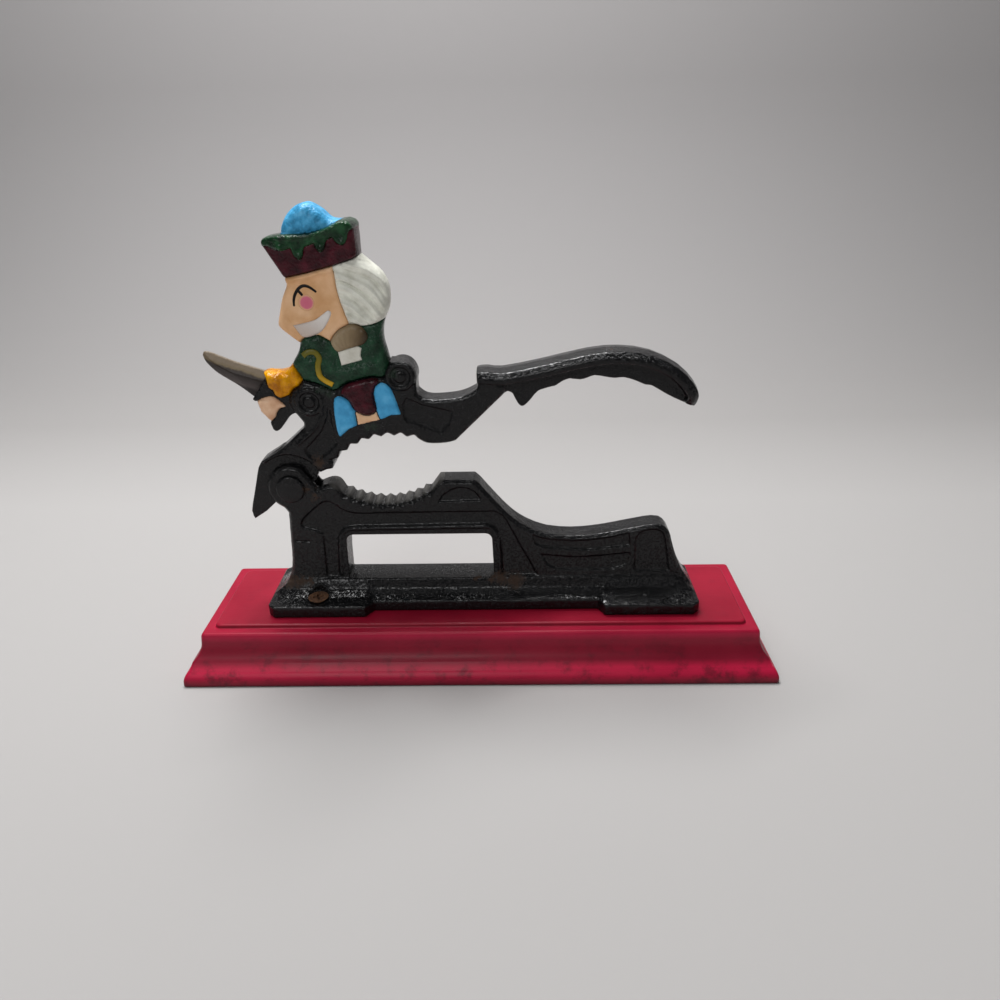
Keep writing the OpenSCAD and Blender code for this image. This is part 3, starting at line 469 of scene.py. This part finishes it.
cone = node(maker, "GeometryNodeMeshCone", {"Vertices": HEAD_SIDES, "Radius Top": given["Head Radius"],
                                            "Radius Bottom": given["Shank Radius"], "Depth": given["Taper"]})
body = node(maker, "GeometryNodeMeshCylinder", {"Vertices": SHANK_SIDES, "Radius": given["Shank Radius"],
                                                "Depth": given["Body"]})
spike = node(maker, "GeometryNodeMeshCone", {"Vertices": SHANK_SIDES, "Radius Top": given["Shank Radius"],
                                             "Radius Bottom": given["Point Radius"],
                                             "Depth": given["Shank Width"]})
helix = node(maker, "GeometryNodeCurveSpiral", {"Resolution": THREAD_STEPS, "Rotations": given["Turns"],
                                                "Start Radius": given["Shank Radius"],
                                                "End Radius": given["Shank Radius"], "Height": given["Body"]})
ridge = node(maker, "GeometryNodeCurvePrimitiveCircle", {"Resolution": 3, "Radius": given["Thread Height"]})
thread = node(maker, "GeometryNodeCurveToMesh", {"Curve": helix, "Profile Curve": ridge})
placed = []
for part, z in ((cone, "Under Head"), (body, "Body Middle"), (spike, "Tip"), (thread, "Body Foot")):
    offset = node(maker, "CombineXYZ", {"Z": given[z]})
    placed.append(node(maker, "GeometryNodeTransform", {0: part, "Translation": offset}))
bar = node(maker, "GeometryNodeMeshCube", {"Size": given["Recess"]})
cut = node(maker, "GeometryNodeMeshBoolean", {"Mesh 1": placed[0]}, operation="DIFFERENCE")
for turn in RECESS_TURNS:
    slot = node(maker, "GeometryNodeTransform", {0: bar, "Rotation": (0, 0, math.radians(turn))})
    maker.links.new(slot.outputs[0], cut.inputs["Mesh 2"])
whole = node(maker, "GeometryNodeJoinGeometry")
for part in (cut, *placed[1:]):
    maker.links.new(part.outputs[0], whole.inputs[0])
seats = node(maker, "GeometryNodeMeshLine", {"Count": 2, "Start Location": given["Front Seat"],
                                             "Offset": given["Rear Seat"]}, mode="END_POINTS")
pair = node(maker, "GeometryNodeInstanceOnPoints", {"Points": seats, "Instance": whole})
solid = node(maker, "GeometryNodeRealizeInstances", {0: pair})
dressed = node(maker, "GeometryNodeSetMaterial", {0: solid, "Material": given["Metal"]})
node(maker, "NodeGroupOutput", {0: dressed})

screws = add_object("wood_screws", bpy.data.meshes.new("wood_screws"))
maker_on = screws.modifiers.new("screws", "NODES")
maker_on.node_group = maker
for item in maker.interface.items_tree:
    if item.in_out == "INPUT":
        maker_on[item.identifier] = SCREW[item.name]
bake(screws)
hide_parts("front_screw", "rear_screw")
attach(screws, "base")

# ---------------------------------------------------------------- figure
# Hat, head, coat and sword arm are cast in one with the lever, as a relief on both faces.
# Each area is picked out by brush in its own enamel; the relief runs on under the paint's edges.
# All outlines are in mm from the hinge, X to the right and Z up.
TILE_STEP, BORDER_STEP, ROW_STEP = 0.46, 0.6, 0.866
FAR = 99.0


def chain(*lines):
    """Joins lines end to end into one outline, leaving out points that repeat."""
    joined = []
    for line in lines:
        for point in line:
            point = (round(float(point[0]), 3), round(float(point[1]), 3))
            if not joined or joined[-1] != point:
                joined.append(point)
    return joined[:-1] if joined[0] == joined[-1] else joined


seat_line = curve([(43, 50.6), (42.6, 47.2), (40.2, 44.6), (36.5, 45.1), (30.7, 44), (25.7, 42.4),
                   (21.5, 39.9), (16.2, 42.5), (10.4, 44.2)])
glove_line = curve([(10.4, 44.2), (8.7, 42), (6.8, 41), (4.4, 38.4)])
glove_foot = curve([(4.4, 38.4), (1.1, 37.3), (-0.8, 38.4), (-1.3, 40), (-2.9, 41.4), (-3.7, 44.8)])
blade_root = [(-3.7, 44.8), (-9.9, 36.6)]
hand_line = curve([(-8.6, 35.8), (-6.4, 37.1), (-3.4, 37.8), (-1.3, 37.4), (0.6, 35.8), (2.4, 33.9),
                   (0.3, 33.2), (-1.4, 31.3), (-2, 29.7), (-4.4, 27.6)])
collar_line = curve([(10.8, 57.7), (12.4, 59.4), (14.8, 60.5), (18.1, 60.8), (20.6, 59.6), (22.4, 58.4)])
shoulder_line = curve([(22.4, 58.4), (23.8, 60.6), (26.2, 62.8), (29.8, 64.6)])
hair_foot = curve([(29.8, 64.6), (34.4, 63.9), (39, 64.6), (42.6, 66.2)])
hair_line = curve([(29.8, 64.6), (28, 70.6), (26.8, 76), (26.4, 81), (26.3, 85)])
brow_line = curve([(26.3, 85), (17.4, 82.8), (8.5, 81)], 4)
nape_line = [(26.3, 85), (33.4, 87.2), (35.5, 88.2)]
crown_line = curve([(30, 99.9), (26.7, 98.2), (22.9, 96.9), (18.5, 96), (13.3, 95.9), (9.3, 95.7)])
drop_line = curve([(2.2, 91.7), (4.2, 91.9), (6.2, 91.2), (8, 90.5), (10, 90.5), (11.8, 91), (13, 91.2),
                   (13.4, 89.6), (14.2, 88.1), (15.5, 87.5), (16.7, 88.4), (17.3, 90.2), (17.8, 91.6),
                   (19.6, 92.2), (21.1, 92.7), (21.6, 91.2), (22.5, 90.1), (23.7, 90), (24.7, 91.1),
                   (25.3, 92.8), (25.9, 93.8), (27.8, 94.6), (28.6, 93.3), (29.6, 92.4), (31, 92.1),
                   (32.2, 93), (32.9, 94.6), (33.3, 96), (34.1, 96.9), (35.2, 97.4)])
profile_line = curve([(8.5, 81), (8.6, 78.2), (6.4, 73.6), (4.9, 68.6), (3.9, 65), (4.6, 63.2),
                      (7.5, 60.4), (10.8, 57.7)], 4)
chest_line = curve([(10.8, 57.7), (9.8, 54.6), (7, 50.2)], 4)
cuff_line = curve([(7, 50.2), (8.6, 47.8), (10.4, 44.2)])

def sideways(path):
    """The unit direction across a path at each of its points."""
    way = np.gradient(path, axis=0)
    way /= np.linalg.norm(way, axis=1)[:, None]
    return np.stack([-way[:, 1], way[:, 0]], 1)


def ribbon(path, width):
    """The outline of a brush stroke of one width along a path."""
    path = np.array(path)
    side = sideways(path) * width / 2
    return chain(path - side, (path + side)[::-1])


CHEEK, CHEEK_RADIUS = (15.7, 72.6), 2.75
# where two areas overlap, the one named first is on top
AREAS = {
    "cheek": arc(CHEEK, CHEEK_RADIUS, 0, 345, 23),
    "smile": chain(curve([(9.8, 64.6), (13.9, 65.4), (17.9, 66.5), (20.9, 68.4), (23, 69.7), (23.9, 68.3),
                          (20.5, 63), (16.6, 60.6), (12.9, 60.2), (9.8, 64.6)], 4)),
    "braid": ribbon(curve([(11.9, 53.5), (13.8, 54.8), (16.3, 54.7), (17.7, 52.6), (17.1, 50.3), (16.9, 48.2),
                           (17.2, 45.8), (18.8, 44), (21.6, 42.3)], 4), 2.0),
    "sash": chain([(24.8, 54.6), (25.6, 49.6), (33.4, 51.6), (33, 53.4), (33.6, 56), (32.2, 56.7),
                   (29.4, 56)]),
    "epaulette": chain(shoulder_line, curve([(29.8, 64.6), (33, 64.4), (35.6, 62.4), (36.2, 59.6), (34, 57.2),
                                             (29.4, 56), (24.8, 54.6), (22.4, 58.4)])),
    "face": chain(profile_line, collar_line, shoulder_line, hair_line, brow_line),
    "hair": chain(hair_foot, curve([(42.6, 66.2), (44.2, 69.8), (44.8, 74.2), (44.3, 78.5), (42, 82.5),
                                    (38.6, 85.6), (35.5, 88.2)], 4), nape_line[::-1], hair_line[::-1]),
    "band": chain(brow_line[::-1], nape_line, drop_line[::-1]),
    "brim": chain(drop_line, [(35, 98.4), (33.9, 99.5), (32, 100.1)], crown_line,
                  [(6.4, 95.2), (4.2, 94.9), (2.6, 94.2), (2.0, 93.2)]),
    "crown": chain(crown_line[::-1], curve([(30, 99.9), (26.6, 100.4), (23.6, 103.1), (20, 105.2),
                                            (17.4, 105.4), (14.4, 103.9), (11.7, 101.3), (9.8, 98),
                                            (9.3, 95.7)], 4)),
    "coat": chain(chest_line, cuff_line, seat_line[::-1],
                  curve([(43, 50.6), (42.2, 54.4), (41.4, 58), (41.5, 62.4), (42.6, 66.2)], 4),
                  hair_foot[::-1], shoulder_line[::-1], collar_line[::-1]),
    "gauntlet": chain(glove_foot[::-1], glove_line[::-1], cuff_line[::-1],
                      curve([(7, 50.2), (5.4, 48.4), (3.6, 47.2), (0, 46.7), (-3, 47), (-4.6, 46.8)]),
                      [(-3.7, 44.8)]),
    "hand": chain([(-7.6, 31.6)], hand_line[::-1]),
    "blade": chain(curve([(-26.8, 53.2), (-26.2, 50.9), (-24.5, 48.5), (-21.8, 45.8), (-15.2, 41.2),
                          (-9.9, 36.6)], 5),
                   blade_root[::-1], [(-4.6, 46.8)],
                   curve([(-4.6, 46.8), (-9.5, 48.4), (-14.6, 50.1), (-19.7, 52.2), (-24, 54), (-26, 54.4),
                          (-26.8, 53.2)], 5)),
}
# areas that are only paint or low relief on another area
LIES_ON = {"brim": "band", "cheek": "face", "smile": "face", "braid": "coat", "sash": "coat",
           "epaulette": "coat"}
# how far each area swells over the casting, and over what distance from its border, in mm
SWELL = {"face": (0.9, 1.6), "hair": (1.6, 2.6), "band": (1.6, 0.9), "crown": (1.0, 2.0),
         "coat": (0.9, 1.6), "gauntlet": (1.3, 2.2), "hand": (0.8, 1.8), "blade": (0.2, 2.0)}
LOW_SWELL = {"brim": (0.75, 1.1), "smile": (0.5, 1.3), "braid": (0.35, 0.8), "sash": (0.35, 0.5),
             "epaulette": (1.1, 2.4)}
# how far in from the casting's own edge each area is rounded off, and the share of depth left there
ROUNDED, EDGE_SHARE = {"crown": 4.5, "hair": 3.2, "band": 0.9}, {"band": 0.78, "blade": 0.3}
# soft rises on an area: centre, the two radii, height and turn in degrees
RISES = {
    "face": [((6.2, 66.2), (2.2, 3.0), 0.7, 0), ((16, 72), (6, 5), 0.5, 0),
             ((15.5, 67.6), (7, 0.9), 0.5, 20)],
    "coat": [((13.4, 50.2), (3.6, 4.2), 1.3, 0), ((16.6, 58.6), (4.4, 1.6), 0.8, -10),
             ((31, 47.6), (9, 1.6), 0.8, 12), ((22.6, 49), (1.4, 4.5), 0.5, 0),
             ((38.6, 59), (1.2, 5), 0.5, -8)],
    "gauntlet": [((4.5, 44), (3, 3), 0.5, 0)],
    "brim": [(drop, (1.0, 1.1), 0.7, 0) for drop in ((9.2, 91.4), (15.6, 88.7), (23.6, 91.1), (31, 93.3))],
}
SPINE = [(-26.8, 52.4), (-22, 50), (-16.6, 47.8), (-8.2, 45.1), (-4, 44.4)]
HALF_CASTING, THINNEST = 4.0, 0.35
HAT_FOOT, SLEEVE_END, SLEEVE_FOOT = 80, -3, 36
# lines along which the relief runs into the black casting, and so isn't rounded off
JOINED = [seat_line, glove_line, glove_foot, hand_line, blade_root]


def inside(points, outline):
    """Which points lie inside an outline."""
    x, z = points[:, 0], points[:, 1]
    hit = np.zeros(len(points), bool)
    for (ax, az), (bx, bz) in zip(outline, outline[1:] + outline[:1]):
        if az != bz:
            hit ^= ((az > z) != (bz > z)) & (x < (bx - ax) * (z - az) / (bz - az) + ax)
    return hit


def distance(points, segments):
    """How far each point is from the nearest of some line segments."""
    nearest = np.full(len(points), FAR)
    if not len(segments):
        return nearest
    a, b = np.array(segments)[:, 0], np.array(segments)[:, 1]
    way = b - a
    length = np.maximum((way ** 2).sum(1), 1e-9)
    at_once = 500
    for i in range(0, len(points), at_once):
        block = points[i:i + at_once, None, :]
        along = np.clip(((block - a) * way).sum(2) / length, 0, 1)
        gap = np.linalg.norm(block - a - along[..., None] * way, axis=2)
        nearest[i:i + at_once] = gap.min(1)
    return nearest


def pairs(path):
    """The line segments of an open path."""
    return list(zip(path, path[1:]))


def fine(outline):
    """An outline with points no more than a step apart."""
    made = []
    for a, b in zip(outline, outline[1:] + outline[:1]):
        parts = max(1, math.ceil(math.dist(a, b) / BORDER_STEP))
        made += [(a[0] + (b[0] - a[0]) * k / parts, a[1] + (b[1] - a[1]) * k / parts) for k in range(parts)]
    return made


def tile(areas, step):
    """Triangles over all the areas, with every border kept, and the area that each belongs to."""
    points, index, edges = [], {}, []
    for outline in areas.values():
        ids = []
        for p in fine(outline):
            key = (round(p[0], 2), round(p[1], 2))
            if key not in index:
                index[key] = len(points)
                points.append(Vector(key))
            ids.append(index[key])
        edges += [(a, b) for a, b in zip(ids, ids[1:] + ids[:1]) if a != b]
    border = [(tuple(points[a]), tuple(points[b])) for a, b in edges]
    everything = np.array([tuple(p) for p in points])
    low, high = everything.min(0), everything.max(0)
    # rows of points in between, each shifted by half a step against the last
    grid = np.array([(x, z) for j, z in enumerate(np.arange(low[1], high[1], step * ROW_STEP))
                     for x in np.arange(low[0] + (j % 2) * step / 2, high[0], step)])
    grid = grid[np.any([inside(grid, outline) for outline in areas.values()], axis=0)]
    grid = grid[distance(grid, border) > step * 0.45]
    points += [Vector(p) for p in grid]
    spots, _, faces, _, _, _ = delaunay_2d_cdt(points, edges, [], 0, 0.0001)
    spots = np.array([tuple(p) for p in spots])
    faces = np.array([f for f in faces if len(f) == 3])
    middle = spots[faces].mean(1)
    owner = np.full(len(faces), -1)
    for k, outline in reversed(list(enumerate(areas.values()))):
        owner[inside(middle, outline)] = k
    keep = owner >= 0
    faces, owner = faces[keep], owner[keep]
    a, b, c = (spots[faces[:, i]] for i in range(3))
    clockwise = (b[:, 0] - a[:, 0]) * (c[:, 1] - a[:, 1]) < (b[:, 1] - a[:, 1]) * (c[:, 0] - a[:, 0])
    faces[clockwise] = faces[clockwise][:, ::-1]
    return spots, faces, owner


def edges_of(face):
    """The three edges of a triangle, each a pair of plain numbers."""
    a, b, c = (int(v) for v in face)
    return (a, b), (b, c), (c, a)


def borders(spots, faces, owner):
    """Edges round the whole relief, and edges between two owners."""
    owners, uses = {}, {}
    for face, k in zip(faces, owner):
        for a, b in edges_of(face):
            edge = (min(a, b), max(a, b))
            owners.setdefault(edge, set()).add(int(k))
            uses[edge] = uses.get(edge, 0) + 1
    rim = [(spots[a], spots[b]) for (a, b), n in uses.items() if n == 1]
    between = [(spots[a], spots[b]) for (a, b), ks in owners.items() if len(ks) > 1]
    return rim, between


def swell(gap, reach):
    """A quarter-round rise from 0 at a border to 1 at a distance."""
    u = np.clip(gap / reach, 0, 1)
    return np.sqrt(np.clip(1 - (1 - u) ** 2, 0, 1))


def roll(gap, middle, width):
    """A soft round rise of height 1 that runs beside a line, at a distance from it."""
    return np.exp(-((gap - middle) / width) ** 2)


def bump_at(points, centre, radii, height, turn):
    """A soft round rise about a centre."""
    d = points - np.array(centre)
    c, s = math.cos(math.radians(turn)), math.sin(math.radians(turn))
    u, v = (d[:, 0] * c + d[:, 1] * s) / radii[0], (-d[:, 0] * s + d[:, 1] * c) / radii[1]
    return height * np.exp(-(u * u + v * v))


names = list(AREAS)
spots, faces, owner = tile(AREAS, TILE_STEP)
group = np.array([names.index(LIES_ON.get(name, name)) for name in names])[owner]
rim, between_areas = borders(spots, faces, owner)
_, between_groups = borders(spots, faces, group)
middles = np.array([(a + b) / 2 for a, b in rim])
free = distance(middles, [leg for line in JOINED for leg in pairs(line)]) > 0.12
open_rim = [edge for edge, is_free in zip(rim, free) if is_free]
held_rim = [edge for edge, is_free in zip(rim, free) if not is_free]


def half_depth(points, area):
    """Half the casting's depth at points of one area."""
    host = LIES_ON.get(area, area)
    x, z = points[:, 0], points[:, 1]
    out_by = distance(points, open_rim)
    in_by = distance(points, between_groups + held_rim)
    # the hat is thicker towards its top, and the sword arm thinner towards its hand
    body = np.where(z > HAT_FOOT, HALF_CASTING + 0.09 * (z - HAT_FOOT), HALF_CASTING)
    body = np.where((x < SLEEVE_END) & (z > SLEEVE_FOOT), 3.4 - 0.07 * (SLEEVE_END - x), body)
    round_off = swell(out_by, ROUNDED.get(host, 2.2))
    edge = EDGE_SHARE.get(host, 0.5)
    deep = body * (edge + (1 - edge) * round_off)
    rise, over = SWELL[host]
    deep = deep + rise * swell(in_by, over) * round_off
    if area in LOW_SWELL:
        rise, over = LOW_SWELL[area]
        deep = deep + rise * swell(distance(points, between_areas + rim), over)
    calm = swell(np.minimum(in_by, out_by), 2.0)
    for part in dict.fromkeys((host, area)):
        for soft in RISES.get(part, ()):
            deep = deep + bump_at(points, *soft) * (calm if part in ("coat", "gauntlet") else 1)
    if host == "hair":
        # locks comb back from the temple and curl down; fine hairs follow them
        run = np.clip(x - 27, -4, 20)
        wave = (z + np.clip(0.03 * (80 - z), 0, 0.35) * run + 0.024 * run ** 2
                + 0.45 * np.sin(x * 0.5 + z * 0.2))
        lock = wave + 0.7 * np.sin(wave * 0.7 + 1)
        deep = deep + calm * (1.55 * np.abs(np.sin(lock * math.pi / 4.4)) ** 0.85
                              + 0.26 * np.sin(wave * 3.9 + x * 0.3) - 0.85)
    if host == "face":
        # the brow rises under the hat, with a furrow below it
        under_hat = distance(points, pairs(brow_line))
        deep = deep + 0.9 * roll(under_hat, 1.0, 0.8) - 0.3 * calm * roll(under_hat, 2.8, 0.6)
    if host == "coat":
        # the back of the coat thins towards its edge
        deep = deep - 0.16 * np.clip(x - 37, 0, 9)
    if host == "band":
        # the band tapers at both ends and leans out towards its top
        deep = deep - 0.34 * np.clip(10.0 - x, 0, 10) - 0.9 * np.clip(x - 33.4, 0, 3)
        deep = deep + 0.05 * (z - 84)
    if area == "brim":
        deep = deep + 0.4 * roll(distance(points, pairs(crown_line)), 1.2, 0.7)
    if host == "blade":
        # two flat bevels meet at the spine
        deep = np.minimum(0.45 + 0.55 * out_by, 2.9 - 0.3 * distance(points, pairs(SPINE)))
    if host == "gauntlet":
        deep = deep + calm * 0.25 * np.sin(x * 1.5 + z * 0.6)
    if area == "epaulette":
        # fringe, drawn as ridges that fan out from under the shoulder
        deep = deep + 0.12 * np.sin(np.arctan2(z - 52, x - 29) * 26) * calm
    return np.maximum(deep, THINNEST)


# a point on a border belongs to the first area found there, or to the one that lies on top
spot_area = np.full(len(spots), -1)
for face, k in zip(faces, owner):
    for v in face:
        if spot_area[v] < 0 or names[k] in LIES_ON:
            spot_area[v] = k
depth = np.zeros(len(spots))
for k, area in enumerate(names):
    mine = spot_area == k
    if mine.any():
        depth[mine] = half_depth(spots[mine], area)


def relief(name, spots, faces, depth, material, floor=None):
    """A closed solid from triangles and half depths, the same on both faces of the casting.
    With a floor it is two solids, each standing on the arm's face from that depth."""
    bm = bmesh.new()
    used = sorted({int(v) for f in faces for v in f})

    def skin(sign, level):
        return {v: bm.verts.new((spots[v][0] + HINGE_X, sign * (depth[v] if level is None else level),
                                 spots[v][1] + HINGE_Z)) for v in used}

    loose = {}
    for face in faces:
        for a, b in edges_of(face):
            if (b, a) in loose:
                del loose[(b, a)]
            else:
                loose[(a, b)] = True

    if floor is None:
        solids = [(skin(-1, None), skin(1, None))]
    else:
        solids = [(skin(sign, None), skin(sign, floor))[::-sign] for sign in (-1, 1)]
    for front, rear in solids:
        for sheet, way in ((front, 1), (rear, -1)):
            for face in faces:
                bm.faces.new([sheet[int(v)] for v in face][::way])
        for a, b in loose:
            bm.faces.new((front[b], front[a], rear[a], rear[b]))
    bmesh.ops.recalc_face_normals(bm, faces=bm.faces)
    return new_object(name, bm, material)


def brushed_enamel(name, light, mid, dark, gloss, mottle=0.25, stroke=0.18, fade=None):
    """Enamel put on by brush: a colour mottled at random, over a bumpy grain of the brush.
    A fade runs its own colours from one point to another, or outwards over a radius."""
    material, tree, place = new_material(name)
    cloud = node(tree, "TexNoise",
                 {"Vector": place, "Scale": mottle, "Detail": 4, "Roughness": 0.55})
    tint = node(tree, "ValToRGB", {0: cloud}, stops=[(0.32, dark), (0.5, mid), (0.68, light)])
    if fade:
        start, end, stops = fade
        origin = (start[0] + HINGE_X, 0, start[1] + HINGE_Z)
        away = node(tree, "VectorMath", {0: place, 1: origin}, operation="SUBTRACT")
        if isinstance(end, tuple):
            way = np.array(end, float) - np.array(start, float)
            way = way / (way ** 2).sum()
            share = node(tree, "VectorMath", {0: away, 1: (way[0], 0, way[1])},
                         operation="DOT_PRODUCT")
        else:
            share = node(tree, "VectorMath", {0: away, 1: (1 / end, 0, 1 / end)},
                         operation="MULTIPLY")
            share = node(tree, "VectorMath", {0: share}, operation="LENGTH")
        uneven = node(tree, "MapRange", {0: cloud, 1: 0.3, 2: 0.7, 3: -0.04, 4: 0.04})
        share = node(tree, "Math", {0: share.outputs["Value"], 1: uneven}, operation="ADD")
        tint = node(tree, "ValToRGB", {0: share}, stops=stops)
    grain = node(tree, "TexNoise", {"Vector": place, "Scale": 1.1, "Detail": 2})
    total = node(tree, "Math", {0: cloud, 1: 1.5}, operation="MULTIPLY")
    total = node(tree, "Math", {0: total, 1: grain}, operation="ADD")
    bump = node(tree, "Bump", {"Strength": stroke * 2, "Distance": 0.0003, "Height": total})
    shader = node(tree, "BsdfPrincipled",
                  {"Base Color": tint, "Roughness": gloss, "Normal": bump, "IOR": 1.5,
                   "Specular IOR Level": 0.24})
    node(tree, "OutputMaterial", {0: shader})
    return material


# the node that each area replaces, its slot in the record, and what brushed_enamel is told
PAINT = {
    "blade": ("sword_blade", "blade_paint", "worn_pewter_enamel", "#7c7264", "#5c5349", "#3c352f", 0.38),
    "hand": ("sword_hand", "skin_paint", "hand_flesh_enamel", "#dab697", "#d0a888", "#c29675", 0.45),
    "gauntlet": ("gauntlet", "gold_paint", "gold_yellow_enamel", "#d69600", "#c28000", "#9a5a00", 0.12,
                 0.3, 0.7),
    "coat": ("coat", "green_paint", "bottle_green_enamel", "#20432e", "#183524", "#0f2618", 0.12, 0.25, 0.8),
    "braid": ("coat_braid", "olive_paint", "olive_gold_enamel", "#a08a1c", "#86751a", "#5f5a18", 0.35),
    "epaulette": ("epaulette", "bronze_paint", "bronze_brown_enamel", "#7d6748", "#665439", "#4a3c2a", 0.35),
    "sash": ("sash", "white_paint", "off_white_enamel", "#d2d0c6", "#c8c6bb", "#b9b6aa", 0.5),
    "face": ("face", "skin_paint", "face_flesh_enamel", "#dcb48e", "#d2a67c", "#c69769", 0.5, 0.12, 0.1),
    "smile": ("smile", "smile_paint", "pale_grey_enamel", "#cfc8c4", "#c6bfba", "#bdb2ab", 0.5),
    "cheek": ("cheek", "cheek_paint", "rose_enamel", "#cf6684", "#c95f7d", "#c25a76", 0.5, 0.3, 0.1),
    "hair": ("hair", "hair_paint", "grey_white_enamel", "#dedfd3", "#d3d3c8", "#c2c2b5", 0.5),
    "band": ("hat_band", "maroon_paint", "maroon_enamel", "#4a1420", "#360b15", "#24060d", 0.12, 0.25, 0.5),
    "brim": ("hat_brim", "green_paint", "brim_green_enamel", "#1f4a2c", "#10321b", "#071c0f", 0.1, 0.25, 0.6),
    "crown": ("hat_crown", "blue_paint", "sky_blue_enamel", "#58b0de", "#3e97c6", "#2b7ba4", 0.36, 0.4, 0.45),
}
FADES = {
    # the blade is drawn light along its upper bevel, a painted highlight, and dark over its lower bevel,
    # painted shade
    "blade": ((-13.5, 48.4), (-16.0, 41.4),
              [(0, "#6c5f4e"), (0.11, "#63563f"), (0.2, "#2a2019"), (0.34, "#2c2623"), (0.6, "#3b3432"),
               (0.84, "#4a4240"), (1, "#262120")]),
    "braid": ((14, 55), (20, 43), [(0, "#5f5c1e"), (0.5, "#7a6c1c"), (0.8, "#a8861c"), (1, "#bd941e")]),
    # the shoulder piece is drawn lighter at its left and darker to its right, painted light and shade across
    # its dome
    "epaulette": ((24, 61), (35, 58), [(0, "#97866c"), (0.5, "#806e54"), (0.85, "#54442f"), (1, "#3e3223")]),
    # the smile is drawn whitest along its top, a painted highlight, and greyer and pinker below
    "smile": ((19, 68.5), (15.5, 61), [(0, "#d6d1cc"), (0.5, "#c9c1bb"), (1, "#bdaea3")]),
    "cheek": (CHEEK, CHEEK_RADIUS, [(0, "#c4627a"), (0.7, "#c8697e"), (0.92, "#d3a07f"), (1, "#d4a67d")]),
}
for k, area in enumerate(names):
    replaced, record_slot, *paint = PAINT[area]
    material = brushed_enamel(*paint, fade=FADES.get(area))
    made = relief("painted_" + area, spots, faces[owner == k], depth, material)
    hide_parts(replaced)
    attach(made, "lever")

# ---------------------------------------------------------------- legs and skirt
# The figure sits astride the arm: a short maroon skirt, two blue legs and a strip of knee.
# They are low relief on the arm's two faces, brushed in the same enamels.
ARM_FACE, LEG_FLOOR, LEG_TILE_STEP = 5.2, 4.2, 0.6
LEGS = {
    "skirt": chain(curve([(23.9, 38.8), (27.1, 36.2), (28.2, 33.6), (29.5, 31.9), (32, 30.6), (34.6, 30.6),
                          (37, 32.2), (36.8, 35.6), (36.5, 39), (37.4, 41.6), (39, 43.8), (36.5, 44.7),
                          (30.7, 43.6), (26, 42), (23.9, 38.8)])),
    "left_leg": chain([(29.4, 26.4), (28.9, 31.6), (29.5, 31.9)],
                      curve([(28.2, 33.6), (27.1, 36.2), (25.7, 37.3), (23.4, 38.2), (21.4, 36.8), (20.9, 32),
                             (21.1, 25), (22, 21.6)]), [(25.9, 24.8)]),
    "right_leg": chain([(38.2, 28.4), (42.4, 30.2), (46.4, 30.4)],
                       curve([(46.4, 30.4), (45.4, 34.2), (43.7, 39.8), (41.9, 42.4), (39.6, 43.2),
                              (37.4, 41.6), (36.5, 39), (36.8, 35.6), (37, 32.2)])),
    "knees": chain([(29.4, 26.4), (33.8, 27.4), (38.2, 28.4), (37, 32.2), (34.6, 30.6), (32, 30.6),
                    (29.5, 31.9), (28.9, 31.6)]),
}
LEG_SWELL = {"skirt": (1.7, 1.8), "left_leg": (1.3, 1.2), "right_leg": (1.3, 1.2), "knees": (0.7, 0.8)}
leg_blue = brushed_enamel("leg_blue_enamel", "#56a8d4", "#429ac9", "#3789b8", 0.42)
knee_flesh = brushed_enamel("knee_flesh_enamel", "#e2bc98", "#d9b08a", "#cfa47e", 0.45)
LEG_PAINT = {"skirt": ("maroon_paint", bpy.data.materials["maroon_enamel"]),
             "left_leg": ("blue_paint", leg_blue), "right_leg": ("blue_paint", leg_blue),
             "knees": ("skin_paint", knee_flesh)}
leg_spots, leg_faces, leg_owner = tile(LEGS, LEG_TILE_STEP)
leg_rim, leg_between = borders(leg_spots, leg_faces, leg_owner)
leg_area = np.zeros(len(leg_spots), int)
for face, k in zip(leg_faces, leg_owner):
    leg_area[face] = k
rise, over = np.array([LEG_SWELL[area] for area in LEGS])[leg_area].T
leg_depth = ARM_FACE + rise * swell(distance(leg_spots, leg_rim + leg_between), over)
for k, area in enumerate(LEGS):
    record_slot, material = LEG_PAINT[area]
    made = relief("painted_" + area, leg_spots, leg_faces[leg_owner == k], leg_depth, material, LEG_FLOOR)
    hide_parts(area)
    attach(made, "lever")

# ---------------------------------------------------------------- eye
# The shut, laughing eye is one arched brush stroke with a short lash, in black, on each side.
# The paint stands a little proud of the face, and each stroke thins towards its ends.
ink = brushed_enamel("black_line_enamel", "#15100d", "#0e0a08", "#070505", 0.5)
STROKES = [
    (curve([(11.1, 71.4), (11.3, 73.6), (12.1, 75.7), (13.6, 77.6), (15.4, 78.4), (17.3, 77.9),
            (19.6, 76.2)], 6), 1.1),
    (curve([(12.9, 77.0), (13.8, 76.1), (14.6, 75.1)], 5), 1.0),
]
# a stroke's section: how far across, as a share of its width, and how far above the face in mm
SECTION = [(-0.5, -0.3), (-0.5, 0.02), (-0.25, 0.12), (0.25, 0.12), (0.5, 0.02), (0.5, -0.3)]
bm = bmesh.new()
for path, width in STROKES:
    path = np.array(path)
    side = sideways(path)
    taper = np.sin(np.linspace(0.35, math.pi - 0.35, len(path))) ** 0.4
    for sign in (-1, 1):
        rings = []
        for u, lift in SECTION:
            points = path + side * (u * width * taper)[:, None]
            deep = half_depth(points, "face") + lift
            rings.append([bm.verts.new((p[0] + HINGE_X, sign * d, p[1] + HINGE_Z))
                          for p, d in zip(points, deep)])
        for i in range(len(path) - 1):
            for r in range(len(rings)):
                s = (r + 1) % len(rings)
                bm.faces.new((rings[r][i], rings[r][i + 1], rings[s][i + 1], rings[s][i]))
        bm.faces.new([r[0] for r in rings])
        bm.faces.new([r[-1] for r in rings][::-1])
bmesh.ops.recalc_face_normals(bm, faces=bm.faces)
eye = new_object("painted_eye", bm, ink)
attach(eye, "lever")
